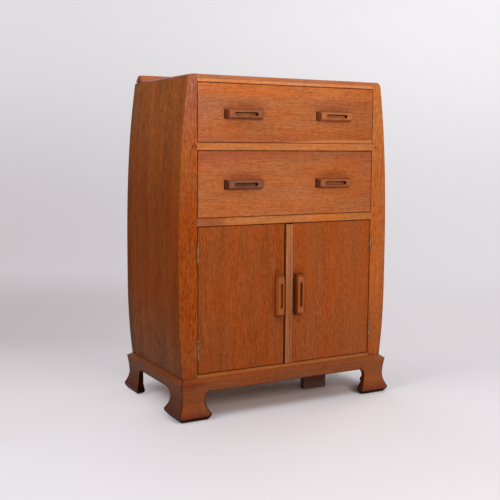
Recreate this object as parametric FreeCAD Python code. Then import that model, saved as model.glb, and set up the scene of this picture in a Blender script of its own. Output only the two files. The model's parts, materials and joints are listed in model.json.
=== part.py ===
import FreeCAD, Part
import math
import os

# An oak tallboy: two full width drawers over a two door cupboard, with bowed sides,
# on a moulded base whose four boards end in flared bracket feet.
# Lengths are in millimetres. X runs to the viewer's right, Y to the back, Z up.
# The origin is on the floor under the middle of the piece.

# Heights of the front, stacked from the floor up
base_height = 126.5
bottom_rail_height = 12.0
door_opening_height = 454.0
head_rail_height = 24.0
lower_drawer_height = 203.0
drawer_rail_height = 22.5
upper_drawer_height = 178.0
top_rail_height = 11.0
top_board_thickness = 11.0

# Plan of the carcase
opening_width = 640.0
carcase_depth = 420.0

# Bow of the sides: the face width of a front stile at three heights
stile_width_bottom = 47.4
stile_width_widest = 62.3
stile_width_top = 27.1
bow_widest_rise = 288.5
bow_lower_power_share = 2.5
bow_upper_power_share = 2.7
bow_points = 14
top_corner_radius = 14.0
top_front_radius = 4.0

# Carcase timbers
stile_depth = 24.0
rear_stile_depth = 24.0
side_thickness = 18.0
back_thickness = 6.0
rail_depth = 45.0
bottom_rail_depth = 24.0
rear_bottom_rail_height = 60.0
dust_board_thickness = 6.0

# Gallery at the back of the top
gallery_thickness = 18.0
gallery_rise = 22.0
gallery_drop = 60.0
gallery_foot_inset = 2.0
gallery_head_inset = 11.0
gallery_corner_radius = 7.0

# Drawer running timbers
runner_lap = 16.0
guide_height = 30.0
kicker_lap = 20.0
stop_length = 32.0
stop_depth = 12.0
stop_height = 4.0
stop_spacing = 400.0
stop_clearance = 0.3

# Cupboard inside
shelf_thickness = 16.0
shelf_rise = 221.5
shelf_setback = 46.0
shelf_clearance = 1.0
bearer_height = 20.0
bearer_width = 16.0
door_stop_length = 30.0
door_stop_depth = 12.0
door_stop_height = 12.0

# Moulded base boards: projections are measured out from the carcase face, and the thickness is
# the part of a board that lies behind that face, under the carcase
base_board_thickness = 4.0
base_bevel_height = 9.5
base_edge_projection = 14.3
base_waist_height = 64.0
base_waist_projection = 8.3
toe_height = 19.5
toe_projection = 22.0
toe_lip_height = 11.0
toe_lip_projection = 20.5
sole_projection = 12.0
base_upper_power_share = 1.6
base_lower_power_share = 1.9
apron_height = 86.0
foot_waist_height = 62.0
profile_points = 7

# Widths of the feet, measured along a board from the carcase corner
front_foot_apron = 86.0
front_foot_waist = 69.0
front_foot_toe = 86.0
front_foot_lip = 84.0
front_foot_sole = 75.0
side_foot_apron = 108.0
side_foot_waist = 81.0
side_foot_toe = 102.0
side_foot_lip = 98.0
side_foot_sole = 76.0
back_foot_apron = 34.0
back_foot_waist = 28.0
back_foot_toe = 32.0
back_foot_lip = 31.0
back_foot_sole = 28.0

# Blocks under the carcase
corner_block_size = 24.0
corner_block_clearance = 14.0
support_block_width = 88.0
support_block_depth = 24.0
support_block_offset = 190.0
support_block_setback = 126.0
support_block_clearance = 1.0

# Pegs in the stiles, and the plug over a screw in the front base board
peg_radius = 3.0
peg_depth = 20.0
peg_edge_distance = 15.0
peg_clearance = 0.05
plug_radius = 3.5
plug_depth = 2.0
plug_offset = 136.0
plug_drop = 13.0

# Drawers
drawer_side_gap = 1.6
drawer_top_gap = 1.5
drawer_bottom_gap = 1.2
drawer_running_gap = 0.3
drawer_front_thickness = 19.0
drawer_side_thickness = 10.0
drawer_back_thickness = 10.0
drawer_length = 372.0
drawer_side_drop = 4.0
drawer_back_drop = 12.0
drawer_bottom_thickness = 6.0
drawer_bottom_rise = 10.0
groove_depth = 5.0
groove_clearance = 0.1

# Doors
door_thickness = 18.0
door_setback = 1.5
door_side_gap = 2.0
door_top_gap = 1.6
door_bottom_gap = 1.6
meeting_gap = 2.0
meeting_strip_left = -12.0
meeting_strip_width = 27.0
meeting_strip_proud = 6.0
meeting_strip_radius = 2.0

# Handles: a block with slanted sides and ends and a routed finger slot; each rise is measured
# from the floor of the opening behind it
handle_length = 134.0
handle_width = 28.0
handle_depth = 20.0
handle_end_slant = 7.5
handle_side_slant = 3.5
handle_end_radius = 1.2
handle_side_radius = 4.0
handle_slot_length = 80.0
handle_slot_width = 10.5
handle_slot_depth = 12.0
drawer_handle_offset = 164.0
upper_handle_rise = 86.0
lower_handle_rise = 100.0
left_door_handle_offset = 34.0
right_door_handle_offset = 38.0
door_handle_rise = 223.5
handle_screw_spacing = 100.0
handle_screw_radius = 2.0
handle_screw_grip = 11.0
screw_head_radius = 4.0
screw_head_height = 2.4
screw_clearance = 0.1

# Butt hinges
hinge_height = 60.0
hinge_inset = 46.0
hinge_leaf_width = 20.0
hinge_leaf_thickness = 1.5
hinge_leaf_gap = 0.3
hinge_recess_clearance = 0.05
hinge_knuckles = 5
hinge_knuckle_radius = 3.0
hinge_knuckle_gap = 0.3
hinge_axis_proud = 1.6
hinge_relief_clearance = 0.3
hinge_pin_radius = 1.25
hinge_pin_clearance = 0.05
hinge_pin_overhang = 1.0
hinge_screw_count = 3
hinge_screw_spacing = 23.0
hinge_screw_radius = 1.5
hinge_screw_head_radius = 2.9
hinge_screw_length = 14.0

# Ball catches in the top edges of the doors
catch_radius = 4.0
catch_depth = 14.0
catch_ball_radius = 3.0
catch_ball_rise = 1.2
catch_offset = 70.0
catch_clearance = 0.05

# One overrun serves every cut
overrun = 30.0

# Places worked out from the sizes above
half_opening = opening_width / 2
half_depth = carcase_depth / 2
front_y = -half_depth
back_y = half_depth
bottom_rail_top = base_height + bottom_rail_height
head_rail_bottom = bottom_rail_top + door_opening_height
head_rail_top = head_rail_bottom + head_rail_height
drawer_rail_bottom = head_rail_top + lower_drawer_height
drawer_rail_top = drawer_rail_bottom + drawer_rail_height
top_rail_bottom = drawer_rail_top + upper_drawer_height
top_board_bottom = top_rail_bottom + top_rail_height
top_z = top_board_bottom + top_board_thickness
stile_back = front_y + stile_depth
rail_back = front_y + rail_depth
rear_stile_back = back_y - back_thickness
rear_stile_front = rear_stile_back - rear_stile_depth
gallery_front = back_y - gallery_thickness
gallery_bottom = top_z - gallery_drop
base_half_width = half_opening + stile_width_bottom
widest_height = base_height + bow_widest_rise
shelf_height = bottom_rail_top + shelf_rise
upper_handle_height = drawer_rail_top + upper_handle_rise
lower_handle_height = head_rail_top + lower_handle_rise
door_handle_height = bottom_rail_top + door_handle_rise


def vector(x, y, z):
    return FreeCAD.Vector(x, y, z)


def box(x_low, x_high, y_low, y_high, z_low, z_high):
    """A box between two corners."""
    size = (x_high - x_low, y_high - y_low, z_high - z_low)
    return Part.makeBox(size[0], size[1], size[2], vector(x_low, y_low, z_low))


def mirrored(shape):
    """The same piece on the other side of the middle plane."""
    return shape.mirror(vector(0, 0, 0), vector(1, 0, 0))


def both_sides(shape):
    """A left and a right copy of a piece made on the right."""
    return [mirrored(shape), shape]


def save(name, *shapes):
    """Write one node, as one solid or as a group of separate solids."""
    shape = shapes[0] if len(shapes) == 1 else Part.makeCompound(list(shapes))
    shape.exportStep("parts/" + name + ".step")


def cut_all(shape, tools):
    for tool in tools:
        shape = shape.cut(tool)
    return shape


def cylinder(radius, length, start, direction):
    return Part.makeCylinder(radius, length, start, direction)


# Bow of the sides
def half_width(z):
    """Half the outer width of the carcase at height z: widest low down, drawn in by a power law."""
    if z >= widest_height:
        reach, edge, power = top_z - widest_height, stile_width_top, bow_upper_power_share
    else:
        reach, edge, power = widest_height - base_height, stile_width_bottom, bow_lower_power_share
    share = abs(z - widest_height) / reach
    return half_opening + stile_width_widest - (stile_width_widest - edge) * share ** power


def bow_edge(side, inset, z_low, z_high):
    """The bowed line on one side, drawn in by inset, from z_low up to z_high."""
    points = []
    for step in range(bow_points):
        z = z_low + (z_high - z_low) * step / (bow_points - 1)
        points.append(vector(side * (half_width(z) - inset), front_y, z))
    curve = Part.BSplineCurve()
    curve.interpolate(points)
    return curve.toShape()


def line(start, end):
    return Part.makeLine(start, end)


def extruded(edges, direction):
    """A solid swept straight from a closed outline."""
    wire = Part.Wire(Part.__sortEdges__(edges))
    return Part.Face(wire).extrude(direction)


def corner_arc(side, shoulder_x, shoulder_z, radius):
    """A quarter round from the side up onto the top."""
    centre_x = shoulder_x - radius
    diagonal = radius * math.sqrt(0.5)
    start = vector(side * shoulder_x, front_y, shoulder_z)
    middle = vector(side * (centre_x + diagonal), front_y, shoulder_z + diagonal)
    end = vector(side * centre_x, front_y, shoulder_z + radius)
    return Part.Arc(start, middle, end).toShape(), end


def outer_block():
    """The whole bowed body of the carcase, its top ends and top front edge rounded over."""
    shoulder = top_z - top_corner_radius
    edges = []
    ends = []
    for side in (-1, 1):
        edges.append(bow_edge(side, 0, base_height, shoulder))
        arc, end = corner_arc(side, half_width(shoulder), shoulder, top_corner_radius)
        edges.append(arc)
        ends.append(end)
    edges.append(line(ends[0], ends[1]))
    foot = half_width(base_height)
    edges.append(line(vector(-foot, front_y, base_height), vector(foot, front_y, base_height)))
    block = extruded(edges, vector(0, carcase_depth, 0))
    reach = half_width(widest_height) + overrun
    corner = box(-reach, reach, front_y - overrun, front_y + top_front_radius,
                 top_z - top_front_radius, top_z + overrun)
    rod = cylinder(top_front_radius, 2 * reach,
                   vector(-reach, front_y + top_front_radius, top_z - top_front_radius), vector(1, 0, 0))
    return block.cut(corner.cut(rod))


def inner_block():
    """The bowed space between the inner faces of the two side panels."""
    edges = [bow_edge(side, side_thickness, base_height, top_z) for side in (-1, 1)]
    for z in (base_height, top_z):
        reach = half_width(z) - side_thickness
        edges.append(line(vector(-reach, front_y, z), vector(reach, front_y, z)))
    return extruded(edges, vector(0, carcase_depth, 0))


outer = outer_block()
inner = inner_block()
far_x = half_opening + stile_width_widest + overrun


def between_panels(x_low, y_low, y_high, z_low, z_high):
    """A timber from x_low out to the inner face of the right side panel."""
    return box(x_low, far_x, y_low, y_high, z_low, z_high).common(inner)


def full_between_panels(y_low, y_high, z_low, z_high):
    """A board that reaches from one side panel to the other."""
    return box(-far_x, far_x, y_low, y_high, z_low, z_high).common(inner)


# Hinges: places shared by the leaves, the doors and the stiles
hinge_axis_x = half_opening - door_side_gap / 2
hinge_axis_y = front_y - hinge_axis_proud
door_bottom = bottom_rail_top + door_bottom_gap
door_top = head_rail_bottom - door_top_gap
hinge_lows = (door_bottom + hinge_inset, door_top - hinge_inset - hinge_height)
relief_radius = hinge_knuckle_radius + hinge_relief_clearance
leaf_near = hinge_leaf_gap / 2
leaf_far = leaf_near + hinge_leaf_thickness
screw_y = hinge_axis_y + relief_radius + (hinge_leaf_width - relief_radius) / 2
knuckle_pitch = hinge_height / hinge_knuckles


def hinge_cut(low, outward):
    """The recess for one leaf and the hollow for the knuckles; outward is 1 in the stile, -1 in the door."""
    spare = hinge_recess_clearance
    reach = leaf_far + spare
    x_ends = sorted((hinge_axis_x, hinge_axis_x + outward * reach))
    recess = box(x_ends[0], x_ends[1], hinge_axis_y, hinge_axis_y + hinge_leaf_width + spare,
                 low - spare, low + hinge_height + spare)
    hollow = cylinder(relief_radius, hinge_height + 2 * hinge_pin_overhang + 2 * spare,
                      vector(hinge_axis_x, hinge_axis_y, low - hinge_pin_overhang - spare), vector(0, 0, 1))
    return recess.fuse(hollow)


def hinge_screw_places(low):
    middle = low + hinge_height / 2
    first = middle - hinge_screw_spacing * (hinge_screw_count - 1) / 2
    return [first + hinge_screw_spacing * index for index in range(hinge_screw_count)]


def hinge_screws(low, outward, spare=0):
    """Countersunk screws through one leaf, their heads flush with its face."""
    screws = []
    for z in hinge_screw_places(low):
        start = vector(hinge_axis_x + outward * leaf_near, screw_y, z)
        direction = vector(outward, 0, 0)
        head = Part.makeCone(hinge_screw_head_radius + spare, hinge_screw_radius + spare,
                             hinge_leaf_thickness, start, direction)
        shank = cylinder(hinge_screw_radius + spare, hinge_screw_length + spare, start, direction)
        screws.append(head.fuse(shank).removeSplitter())
    return screws


def hinge_leaf(low, outward, own_first):
    """One leaf with its knuckles: the frame leaf has knuckles 0, 2 and 4, the door leaf 1 and 3."""
    x_ends = sorted((hinge_axis_x + outward * leaf_near, hinge_axis_x + outward * leaf_far))
    plate_front = hinge_axis_y + relief_radius
    leaf = box(x_ends[0], x_ends[1], plate_front, hinge_axis_y + hinge_leaf_width, low, low + hinge_height)
    for index in range(own_first, hinge_knuckles, 2):
        bottom = low + knuckle_pitch * index + hinge_knuckle_gap / 2
        height = knuckle_pitch - hinge_knuckle_gap
        knuckle = cylinder(hinge_knuckle_radius, height, vector(hinge_axis_x, hinge_axis_y, bottom),
                           vector(0, 0, 1))
        tab = box(x_ends[0], x_ends[1], hinge_axis_y, plate_front, bottom, bottom + height)
        leaf = leaf.fuse(knuckle).fuse(tab)
    bore = cylinder(hinge_pin_radius + hinge_pin_clearance, hinge_height + 2 * overrun,
                    vector(hinge_axis_x, hinge_axis_y, low - overrun), vector(0, 0, 1))
    leaf = leaf.cut(bore)
    return cut_all(leaf, hinge_screws(low, outward, screw_clearance)).removeSplitter()


def hinge_pin(low):
    return cylinder(hinge_pin_radius, hinge_height + 2 * hinge_pin_overhang,
                    vector(hinge_axis_x, hinge_axis_y, low - hinge_pin_overhang), vector(0, 0, 1))


# Carcase: stiles, sides and back
rail_middles = ((base_height + bottom_rail_top) / 2, (head_rail_bottom + head_rail_top) / 2,
                (drawer_rail_bottom + drawer_rail_top) / 2)


def pegs(spare=0):
    """Pegs through the right stile, one at the middle height of each rail."""
    x = half_opening + peg_edge_distance
    return [cylinder(peg_radius + spare, peg_depth, vector(x, front_y, z), vector(0, 1, 0))
            for z in rail_middles]


def front_stile():
    stile = box(half_opening, far_x, front_y, stile_back, base_height, top_z).common(outer)
    tools = pegs(peg_clearance)
    for low in hinge_lows:
        tools.append(hinge_cut(low, 1))
        tools += hinge_screws(low, 1, screw_clearance)
    return cut_all(stile, tools)


def side_panel():
    panel = box(half_opening, far_x, stile_back, back_y, base_height, top_z).common(outer)
    return panel.cut(inner)


def make_carcase_walls():
    left, right = both_sides(front_stile())
    save("front_stile_left", left)
    save("front_stile_right", right)
    left, right = both_sides(side_panel())
    save("side_panel_left", left)
    save("side_panel_right", right)
    rear_stile = between_panels(half_opening, rear_stile_front, rear_stile_back, base_height, gallery_bottom)
    left, right = both_sides(rear_stile)
    save("rear_stile_left", left)
    save("rear_stile_right", right)
    save("back_panel", full_between_panels(rear_stile_back, back_y, base_height, gallery_bottom))
    save("rear_bottom_rail", box(-half_opening, half_opening, rear_stile_front, rear_stile_back,
                                 base_height, base_height + rear_bottom_rail_height))


# Top, gallery and front rails
def top_board():
    """The top lies between the side panels and is notched round the front stiles."""
    whole = box(-far_x, far_x, front_y, gallery_front, top_board_bottom, top_z).common(outer)
    board = whole.common(inner)
    notch = box(half_opening, far_x, front_y - overrun, stile_back, top_board_bottom - overrun, top_z + overrun)
    return cut_all(board, both_sides(notch))


def gallery_rail():
    """The upper back rail: it fills between the sides and rises above the top with raked ends."""
    lower = full_between_panels(gallery_front, back_y, gallery_bottom, top_z)
    foot = half_width(top_z) - gallery_foot_inset
    head = half_width(top_z) - gallery_head_inset
    head_z = top_z + gallery_rise
    radius = gallery_corner_radius
    rake = (foot - head) / gallery_rise
    edges = [line(vector(-foot, gallery_front, top_z), vector(foot, gallery_front, top_z))]
    ends = []
    for side in (-1, 1):
        shoulder_z = head_z - radius
        shoulder_x = foot - rake * (shoulder_z - top_z)
        start = vector(side * shoulder_x, gallery_front, shoulder_z)
        end = vector(side * (shoulder_x - radius), gallery_front, head_z)
        bulge = radius * math.sqrt(0.5)
        middle = vector(side * (shoulder_x - radius + bulge), gallery_front, shoulder_z + bulge)
        edges.append(line(vector(side * foot, gallery_front, top_z), start))
        edges.append(Part.Arc(start, middle, end).toShape())
        ends.append(end)
    edges.append(line(ends[0], ends[1]))
    upper = extruded(edges, vector(0, gallery_thickness, 0))
    return lower.fuse(upper).removeSplitter()


def make_rails():
    save("top_board", top_board())
    save("gallery_rail", gallery_rail())
    rails = (("top_rail", top_rail_bottom, top_board_bottom, rail_back),
             ("drawer_rail", drawer_rail_bottom, drawer_rail_top, rail_back),
             ("door_head_rail", head_rail_bottom, head_rail_top, rail_back),
             ("bottom_rail", base_height, bottom_rail_top, front_y + bottom_rail_depth))
    for name, low, high, back in rails:
        save(name, box(-half_opening, half_opening, front_y, back, low, high))


# Timbers that carry the drawers
def make_drawer_timbers():
    lap = half_opening - runner_lap
    levels = ((drawer_rail_bottom, drawer_rail_top), (head_rail_bottom, head_rail_top))
    runners = []
    guides = []
    for low, high in levels:
        runners += both_sides(between_panels(lap, rail_back, rear_stile_front, low, high))
        guides += both_sides(between_panels(half_opening, rail_back, rear_stile_front, high, high + guide_height))
    save("drawer_runners", *runners)
    save("drawer_guides", *guides)
    kicker = between_panels(half_opening - kicker_lap, rail_back, gallery_front, top_rail_bottom, top_board_bottom)
    save("drawer_kickers", *both_sides(kicker))
    stop_front = front_y + drawer_front_thickness + stop_clearance
    stops = []
    for low, high in levels:
        stop = box((stop_spacing - stop_length) / 2, (stop_spacing + stop_length) / 2,
                   stop_front, stop_front + stop_depth, high, high + stop_height)
        stops += both_sides(stop)
    save("drawer_stops", *stops)
    dust_low = (head_rail_bottom + head_rail_top - dust_board_thickness) / 2
    save("dust_board", box(-lap, lap, rail_back, rear_stile_front, dust_low, dust_low + dust_board_thickness))


# Cupboard
def make_cupboard():
    save("bottom_board", full_between_panels(front_y + bottom_rail_depth, rear_stile_front,
                                             base_height, bottom_rail_top))
    shelf_front = front_y + shelf_setback
    shelf_low = shelf_height - shelf_thickness
    shelf_reach = half_width(shelf_low) - side_thickness - shelf_clearance
    shelf = box(-shelf_reach, shelf_reach, shelf_front, rear_stile_front, shelf_low, shelf_height)
    save("cupboard_shelf", shelf.common(inner))
    bearer = between_panels(half_width(shelf_low) - side_thickness - bearer_width, shelf_front,
                            rear_stile_front, shelf_low - bearer_height, shelf_low)
    save("shelf_bearers", *both_sides(bearer))
    stop_front = front_y + door_setback + door_thickness + stop_clearance
    stop_left = meeting_strip_left - meeting_gap / 2
    stops = [box(stop_left - door_stop_length, stop_left, stop_front, stop_front + door_stop_depth,
                 head_rail_bottom - door_stop_height, head_rail_bottom),
             box(stop_left + meeting_gap, stop_left + meeting_gap + door_stop_length, stop_front,
                 stop_front + door_stop_depth, head_rail_bottom - door_stop_height, head_rail_bottom)]
    save("door_stops", *stops)


# Base
def base_profile():
    """Section of a base board: bevel, hollow down to the waist, flare out to the toe, undercut sole."""
    edge_height = base_height - base_bevel_height
    points = []
    for step in range(profile_points):
        share = 1 - step / (profile_points - 1)
        swell = (base_edge_projection - base_waist_projection) * share ** base_upper_power_share
        points.append((base_waist_projection + swell,
                       base_waist_height + (edge_height - base_waist_height) * share))
    for step in range(1, profile_points):
        share = step / (profile_points - 1)
        swell = (toe_projection - base_waist_projection) * share ** base_lower_power_share
        points.append((base_waist_projection + swell,
                       base_waist_height - (base_waist_height - toe_height) * share))
    return points


def foot_profile(apron, waist, toe):
    """Inner edge of a foot seen from its front: distance from the corner against height, toe upwards."""
    points = []
    for step in range(profile_points):
        share = 1 - step / (profile_points - 1)
        points.append((waist + (toe - waist) * share ** base_lower_power_share,
                       foot_waist_height - (foot_waist_height - toe_height) * share))
    for step in range(1, profile_points):
        turn = step / (profile_points - 1) * math.pi / 2
        points.append((waist + (apron - waist) * (1 - math.cos(turn)),
                       foot_waist_height + (apron_height - foot_waist_height) * math.sin(turn)))
    return points


def smooth_edge(points):
    curve = Part.BSplineCurve()
    curve.interpolate(points)
    return curve.toShape()


def base_board(half_run, reach, foot):
    """A mitred board that faces -Y at the distance reach, between the corners at plus and minus half_run."""
    apron, waist, toe, lip, sole = foot
    start_x = -half_run - toe_projection
    section = [vector(start_x, -reach - out, z) for out, z in base_profile()]
    bevel_top = vector(start_x, -reach, base_height)
    inner_top = vector(start_x, -reach + base_board_thickness, base_height)
    inner_foot = vector(start_x, -reach + base_board_thickness, 0)
    sole_point = vector(start_x, -reach - sole_projection, 0)
    lip_point = vector(start_x, -reach - toe_lip_projection, toe_lip_height)
    edges = [smooth_edge(section), line(section[-1], lip_point), line(lip_point, sole_point),
             line(sole_point, inner_foot), line(inner_foot, inner_top), line(inner_top, bevel_top),
             line(bevel_top, section[0])]
    board = extruded(edges, vector(2 * (half_run + toe_projection), 0, 0))

    proud = toe_projection
    deep = base_board_thickness
    plan = [vector(-half_run - proud, -reach - proud, 0), vector(half_run + proud, -reach - proud, 0),
            vector(half_run - deep, -reach + deep, 0), vector(-half_run + deep, -reach + deep, 0)]
    mitre = Part.Face(Part.makePolygon(plan + [plan[0]])).extrude(vector(0, 0, base_height))
    board = board.common(mitre)

    arch_y = -reach - toe_projection - overrun
    arch = []
    for side in (-1, 1):
        curve = [vector(side * (half_run - out), arch_y, z) for out, z in foot_profile(apron, waist, toe)]
        lip_end = vector(side * (half_run - lip), arch_y, toe_lip_height)
        sole_end = vector(side * (half_run - sole), arch_y, 0)
        below = vector(side * (half_run - sole), arch_y, -overrun)
        arch += [smooth_edge(curve), line(curve[0], lip_end), line(lip_end, sole_end), line(sole_end, below)]
    ends = [half_run - apron, half_run - sole]
    arch.append(line(vector(-ends[0], arch_y, apron_height), vector(ends[0], arch_y, apron_height)))
    arch.append(line(vector(-ends[1], arch_y, -overrun), vector(ends[1], arch_y, -overrun)))
    opening = extruded(arch, vector(0, toe_projection + base_board_thickness + 2 * overrun, 0))
    return board.cut(opening).removeSplitter()


def turned(shape, angle):
    copy = shape.copy()
    copy.rotate(vector(0, 0, 0), vector(0, 0, 1), angle)
    return copy


def plug_rod(spare=0):
    """A rod through the front base board at the plug; its end face takes the board's curve."""
    start = vector(plug_offset, front_y - toe_projection, base_height - plug_drop)
    return cylinder(plug_radius + spare, toe_projection + plug_depth, start, vector(0, 1, 0))


def make_base():
    front_foot = (front_foot_apron, front_foot_waist, front_foot_toe, front_foot_lip, front_foot_sole)
    side_foot = (side_foot_apron, side_foot_waist, side_foot_toe, side_foot_lip, side_foot_sole)
    back_foot = (back_foot_apron, back_foot_waist, back_foot_toe, back_foot_lip, back_foot_sole)
    right_angle, half_turn = 90, 180
    front = base_board(base_half_width, half_depth, front_foot)
    save("base_front", front.cut(plug_rod(peg_clearance)))
    save("joint_pegs", plug_rod().common(front), *[peg for middle in pegs() for peg in both_sides(middle)])
    save("base_back", turned(base_board(base_half_width, half_depth, back_foot), half_turn))
    side = base_board(half_depth, base_half_width, side_foot)
    save("base_right", turned(side, right_angle))
    save("base_left", turned(side, -right_angle))
    blocks = []
    outer_x = base_half_width - base_board_thickness
    outer_y = half_depth - base_board_thickness
    for y_low in (-outer_y, outer_y - corner_block_size):
        block = box(outer_x - corner_block_size, outer_x, y_low, y_low + corner_block_size,
                    corner_block_clearance, base_height)
        blocks += both_sides(block)
    save("base_corner_blocks", *blocks)
    block_left = support_block_offset - support_block_width / 2
    block_front = front_y + support_block_setback
    save("base_support_block", box(block_left, block_left + support_block_width, block_front,
                                   block_front + support_block_depth, support_block_clearance, base_height))


# Handles
def front_edges(block):
    """The straight edges of a handle's face."""
    return [edge for edge in block.Edges if edge.Curve.TypeId == "Part::GeomLine"
            and abs(edge.CenterOfMass.y + handle_depth) < handle_end_radius / 2]


def handle_block():
    """A handle along X, its back on y = 0: slanted sides and ends, round long edges, a finger slot."""
    back_x, back_z = handle_length / 2, handle_width / 2
    face_x, face_z = back_x - handle_end_slant, back_z - handle_side_slant
    block = Part.makeWedge(-face_x, -handle_depth, -face_z, -back_z, -back_x,
                           face_x, 0, face_z, back_z, back_x)
    long_edges = [edge for edge in front_edges(block) if edge.Length > handle_width]
    block = block.makeFillet(handle_side_radius, long_edges)
    end_edges = [edge for edge in front_edges(block) if edge.Length < handle_width]
    block = block.makeFillet(handle_end_radius, end_edges)
    half_run = (handle_slot_length - handle_slot_width) / 2
    slot_start = -handle_depth - overrun
    slot_run = overrun + handle_slot_depth
    slot = box(-half_run, half_run, slot_start, slot_start + slot_run,
               -handle_slot_width / 2, handle_slot_width / 2)
    for side in (-1, 1):
        slot = slot.fuse(cylinder(handle_slot_width / 2, slot_run, vector(side * half_run, slot_start, 0),
                                  vector(0, 1, 0)))
    return cut_all(block.cut(slot.removeSplitter()), handle_screw_holes())


def handle_screw_holes():
    """Holes in the back of a handle block."""
    return [cylinder(handle_screw_radius + screw_clearance, handle_screw_grip + screw_clearance,
                     vector(side * handle_screw_spacing / 2, 0, 0), vector(0, -1, 0)) for side in (-1, 1)]


def handle_screws(board_thickness, spare=0):
    """Round head screws from behind a board into a handle whose back is on y = 0."""
    screws = []
    for side in (-1, 1):
        x = side * handle_screw_spacing / 2
        shank = cylinder(handle_screw_radius + spare, board_thickness + handle_screw_grip,
                         vector(x, -handle_screw_grip, 0), vector(0, 1, 0))
        head = cylinder(screw_head_radius, screw_head_height, vector(x, board_thickness, 0), vector(0, 1, 0))
        screws.append(shank.fuse(head).removeSplitter())
    return screws


def placed(shape, x, y, z, upright=False):
    """A copy moved to its place, turned on end where upright is true."""
    copy = shape.copy()
    if upright:
        quarter_turn = 90
        copy.rotate(vector(0, 0, 0), vector(0, 1, 0), quarter_turn)
    copy.translate(vector(x, y, z))
    return copy


handle = handle_block()


# Drawers
def make_drawer(name, floor_z, opening_height, handle_z):
    """A drawer of five boards with two handles, running on the level floor_z."""
    half_front = half_opening - drawer_side_gap
    front_low = floor_z + drawer_bottom_gap
    front_high = floor_z + opening_height - drawer_top_gap
    front_back = front_y + drawer_front_thickness
    side_low = floor_z + drawer_running_gap
    side_high = front_high - drawer_side_drop
    inner_x = half_front - drawer_side_thickness
    drawer_end = front_y + drawer_length
    panel_low = side_low + drawer_bottom_rise
    panel_high = panel_low + drawer_bottom_thickness
    spare = groove_clearance

    panel_reach = inner_x + groove_depth
    panel = box(-panel_reach, panel_reach, front_back - groove_depth, drawer_end, panel_low, panel_high)
    groove = box(-panel_reach - spare, panel_reach + spare, front_back - groove_depth - spare,
                 drawer_end + overrun, panel_low - spare, panel_high + spare)
    handle_places = (-drawer_handle_offset, drawer_handle_offset)

    front = box(-half_front, half_front, front_y, front_back, front_low, front_high).cut(groove)
    screws = []
    for x in handle_places:
        holes = handle_screws(drawer_front_thickness, screw_clearance)
        front = cut_all(front, [placed(hole, x, front_y, handle_z) for hole in holes])
        screws += [placed(screw, x, front_y, handle_z) for screw in handle_screws(drawer_front_thickness)]
    side = box(inner_x, half_front, front_back, drawer_end, side_low, side_high).cut(groove)
    back = box(-inner_x, inner_x, drawer_end - drawer_back_thickness, drawer_end,
               panel_high, side_high - drawer_back_drop)

    save(name + "_front", front)
    left, right = both_sides(side)
    save(name + "_side_left", left)
    save(name + "_side_right", right)
    save(name + "_back", back)
    save(name + "_bottom", panel)
    for label, x in zip(("left", "right"), handle_places):
        save(name + "_handle_" + label, placed(handle, x, front_y, handle_z))
    save(name + "_handle_screws", *screws)


# Doors
door_face = front_y + door_setback
door_back = door_face + door_thickness
door_edge = half_opening - door_side_gap


def hinged_board(shape):
    """A right hand door board with its hinge recesses and screw holes."""
    tools = []
    for low in hinge_lows:
        tools.append(hinge_cut(low, -1))
        tools += hinge_screws(low, -1, screw_clearance)
    return cut_all(shape, tools)


def catch_body(x):
    """A ball catch let into the top edge of a door, the ball pressed in under the rail."""
    y = (door_face + door_back) / 2
    barrel = cylinder(catch_radius, catch_depth, vector(x, y, door_top - catch_depth), vector(0, 0, 1))
    ball = Part.makeSphere(catch_ball_radius, vector(x, y, door_top + catch_ball_rise - catch_ball_radius))
    return barrel.fuse(ball)


def catch_hole(x):
    y = (door_face + door_back) / 2
    return cylinder(catch_radius + catch_clearance, catch_depth + catch_clearance + overrun,
                    vector(x, y, door_top - catch_depth - catch_clearance), vector(0, 0, 1))


def door_fittings(handle_x, catch_x):
    """Handle, its screws and the catch of a door, with the cuts that they need in the panel."""
    screws = [placed(screw, handle_x, door_face, door_handle_height, True)
              for screw in handle_screws(door_thickness)]
    cuts = [placed(screw, handle_x, door_face, door_handle_height, True)
            for screw in handle_screws(door_thickness, screw_clearance)]
    cuts.append(catch_hole(catch_x))
    grip = placed(handle, handle_x, door_face, door_handle_height, True)
    return grip, screws, catch_body(catch_x), cuts


def meeting_strip():
    """The proud strip on the meeting edge of the right door, its front arrises rounded."""
    strip = box(meeting_strip_left, meeting_strip_left + meeting_strip_width,
                door_face - meeting_strip_proud, door_back, door_bottom, door_top)
    upright = [edge for edge in strip.Edges
               if edge.CenterOfMass.y < door_face - meeting_strip_proud / 2
               and abs(edge.CenterOfMass.z - (door_bottom + door_top) / 2) < meeting_strip_radius]
    return strip.makeFillet(meeting_strip_radius, upright)


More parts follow.
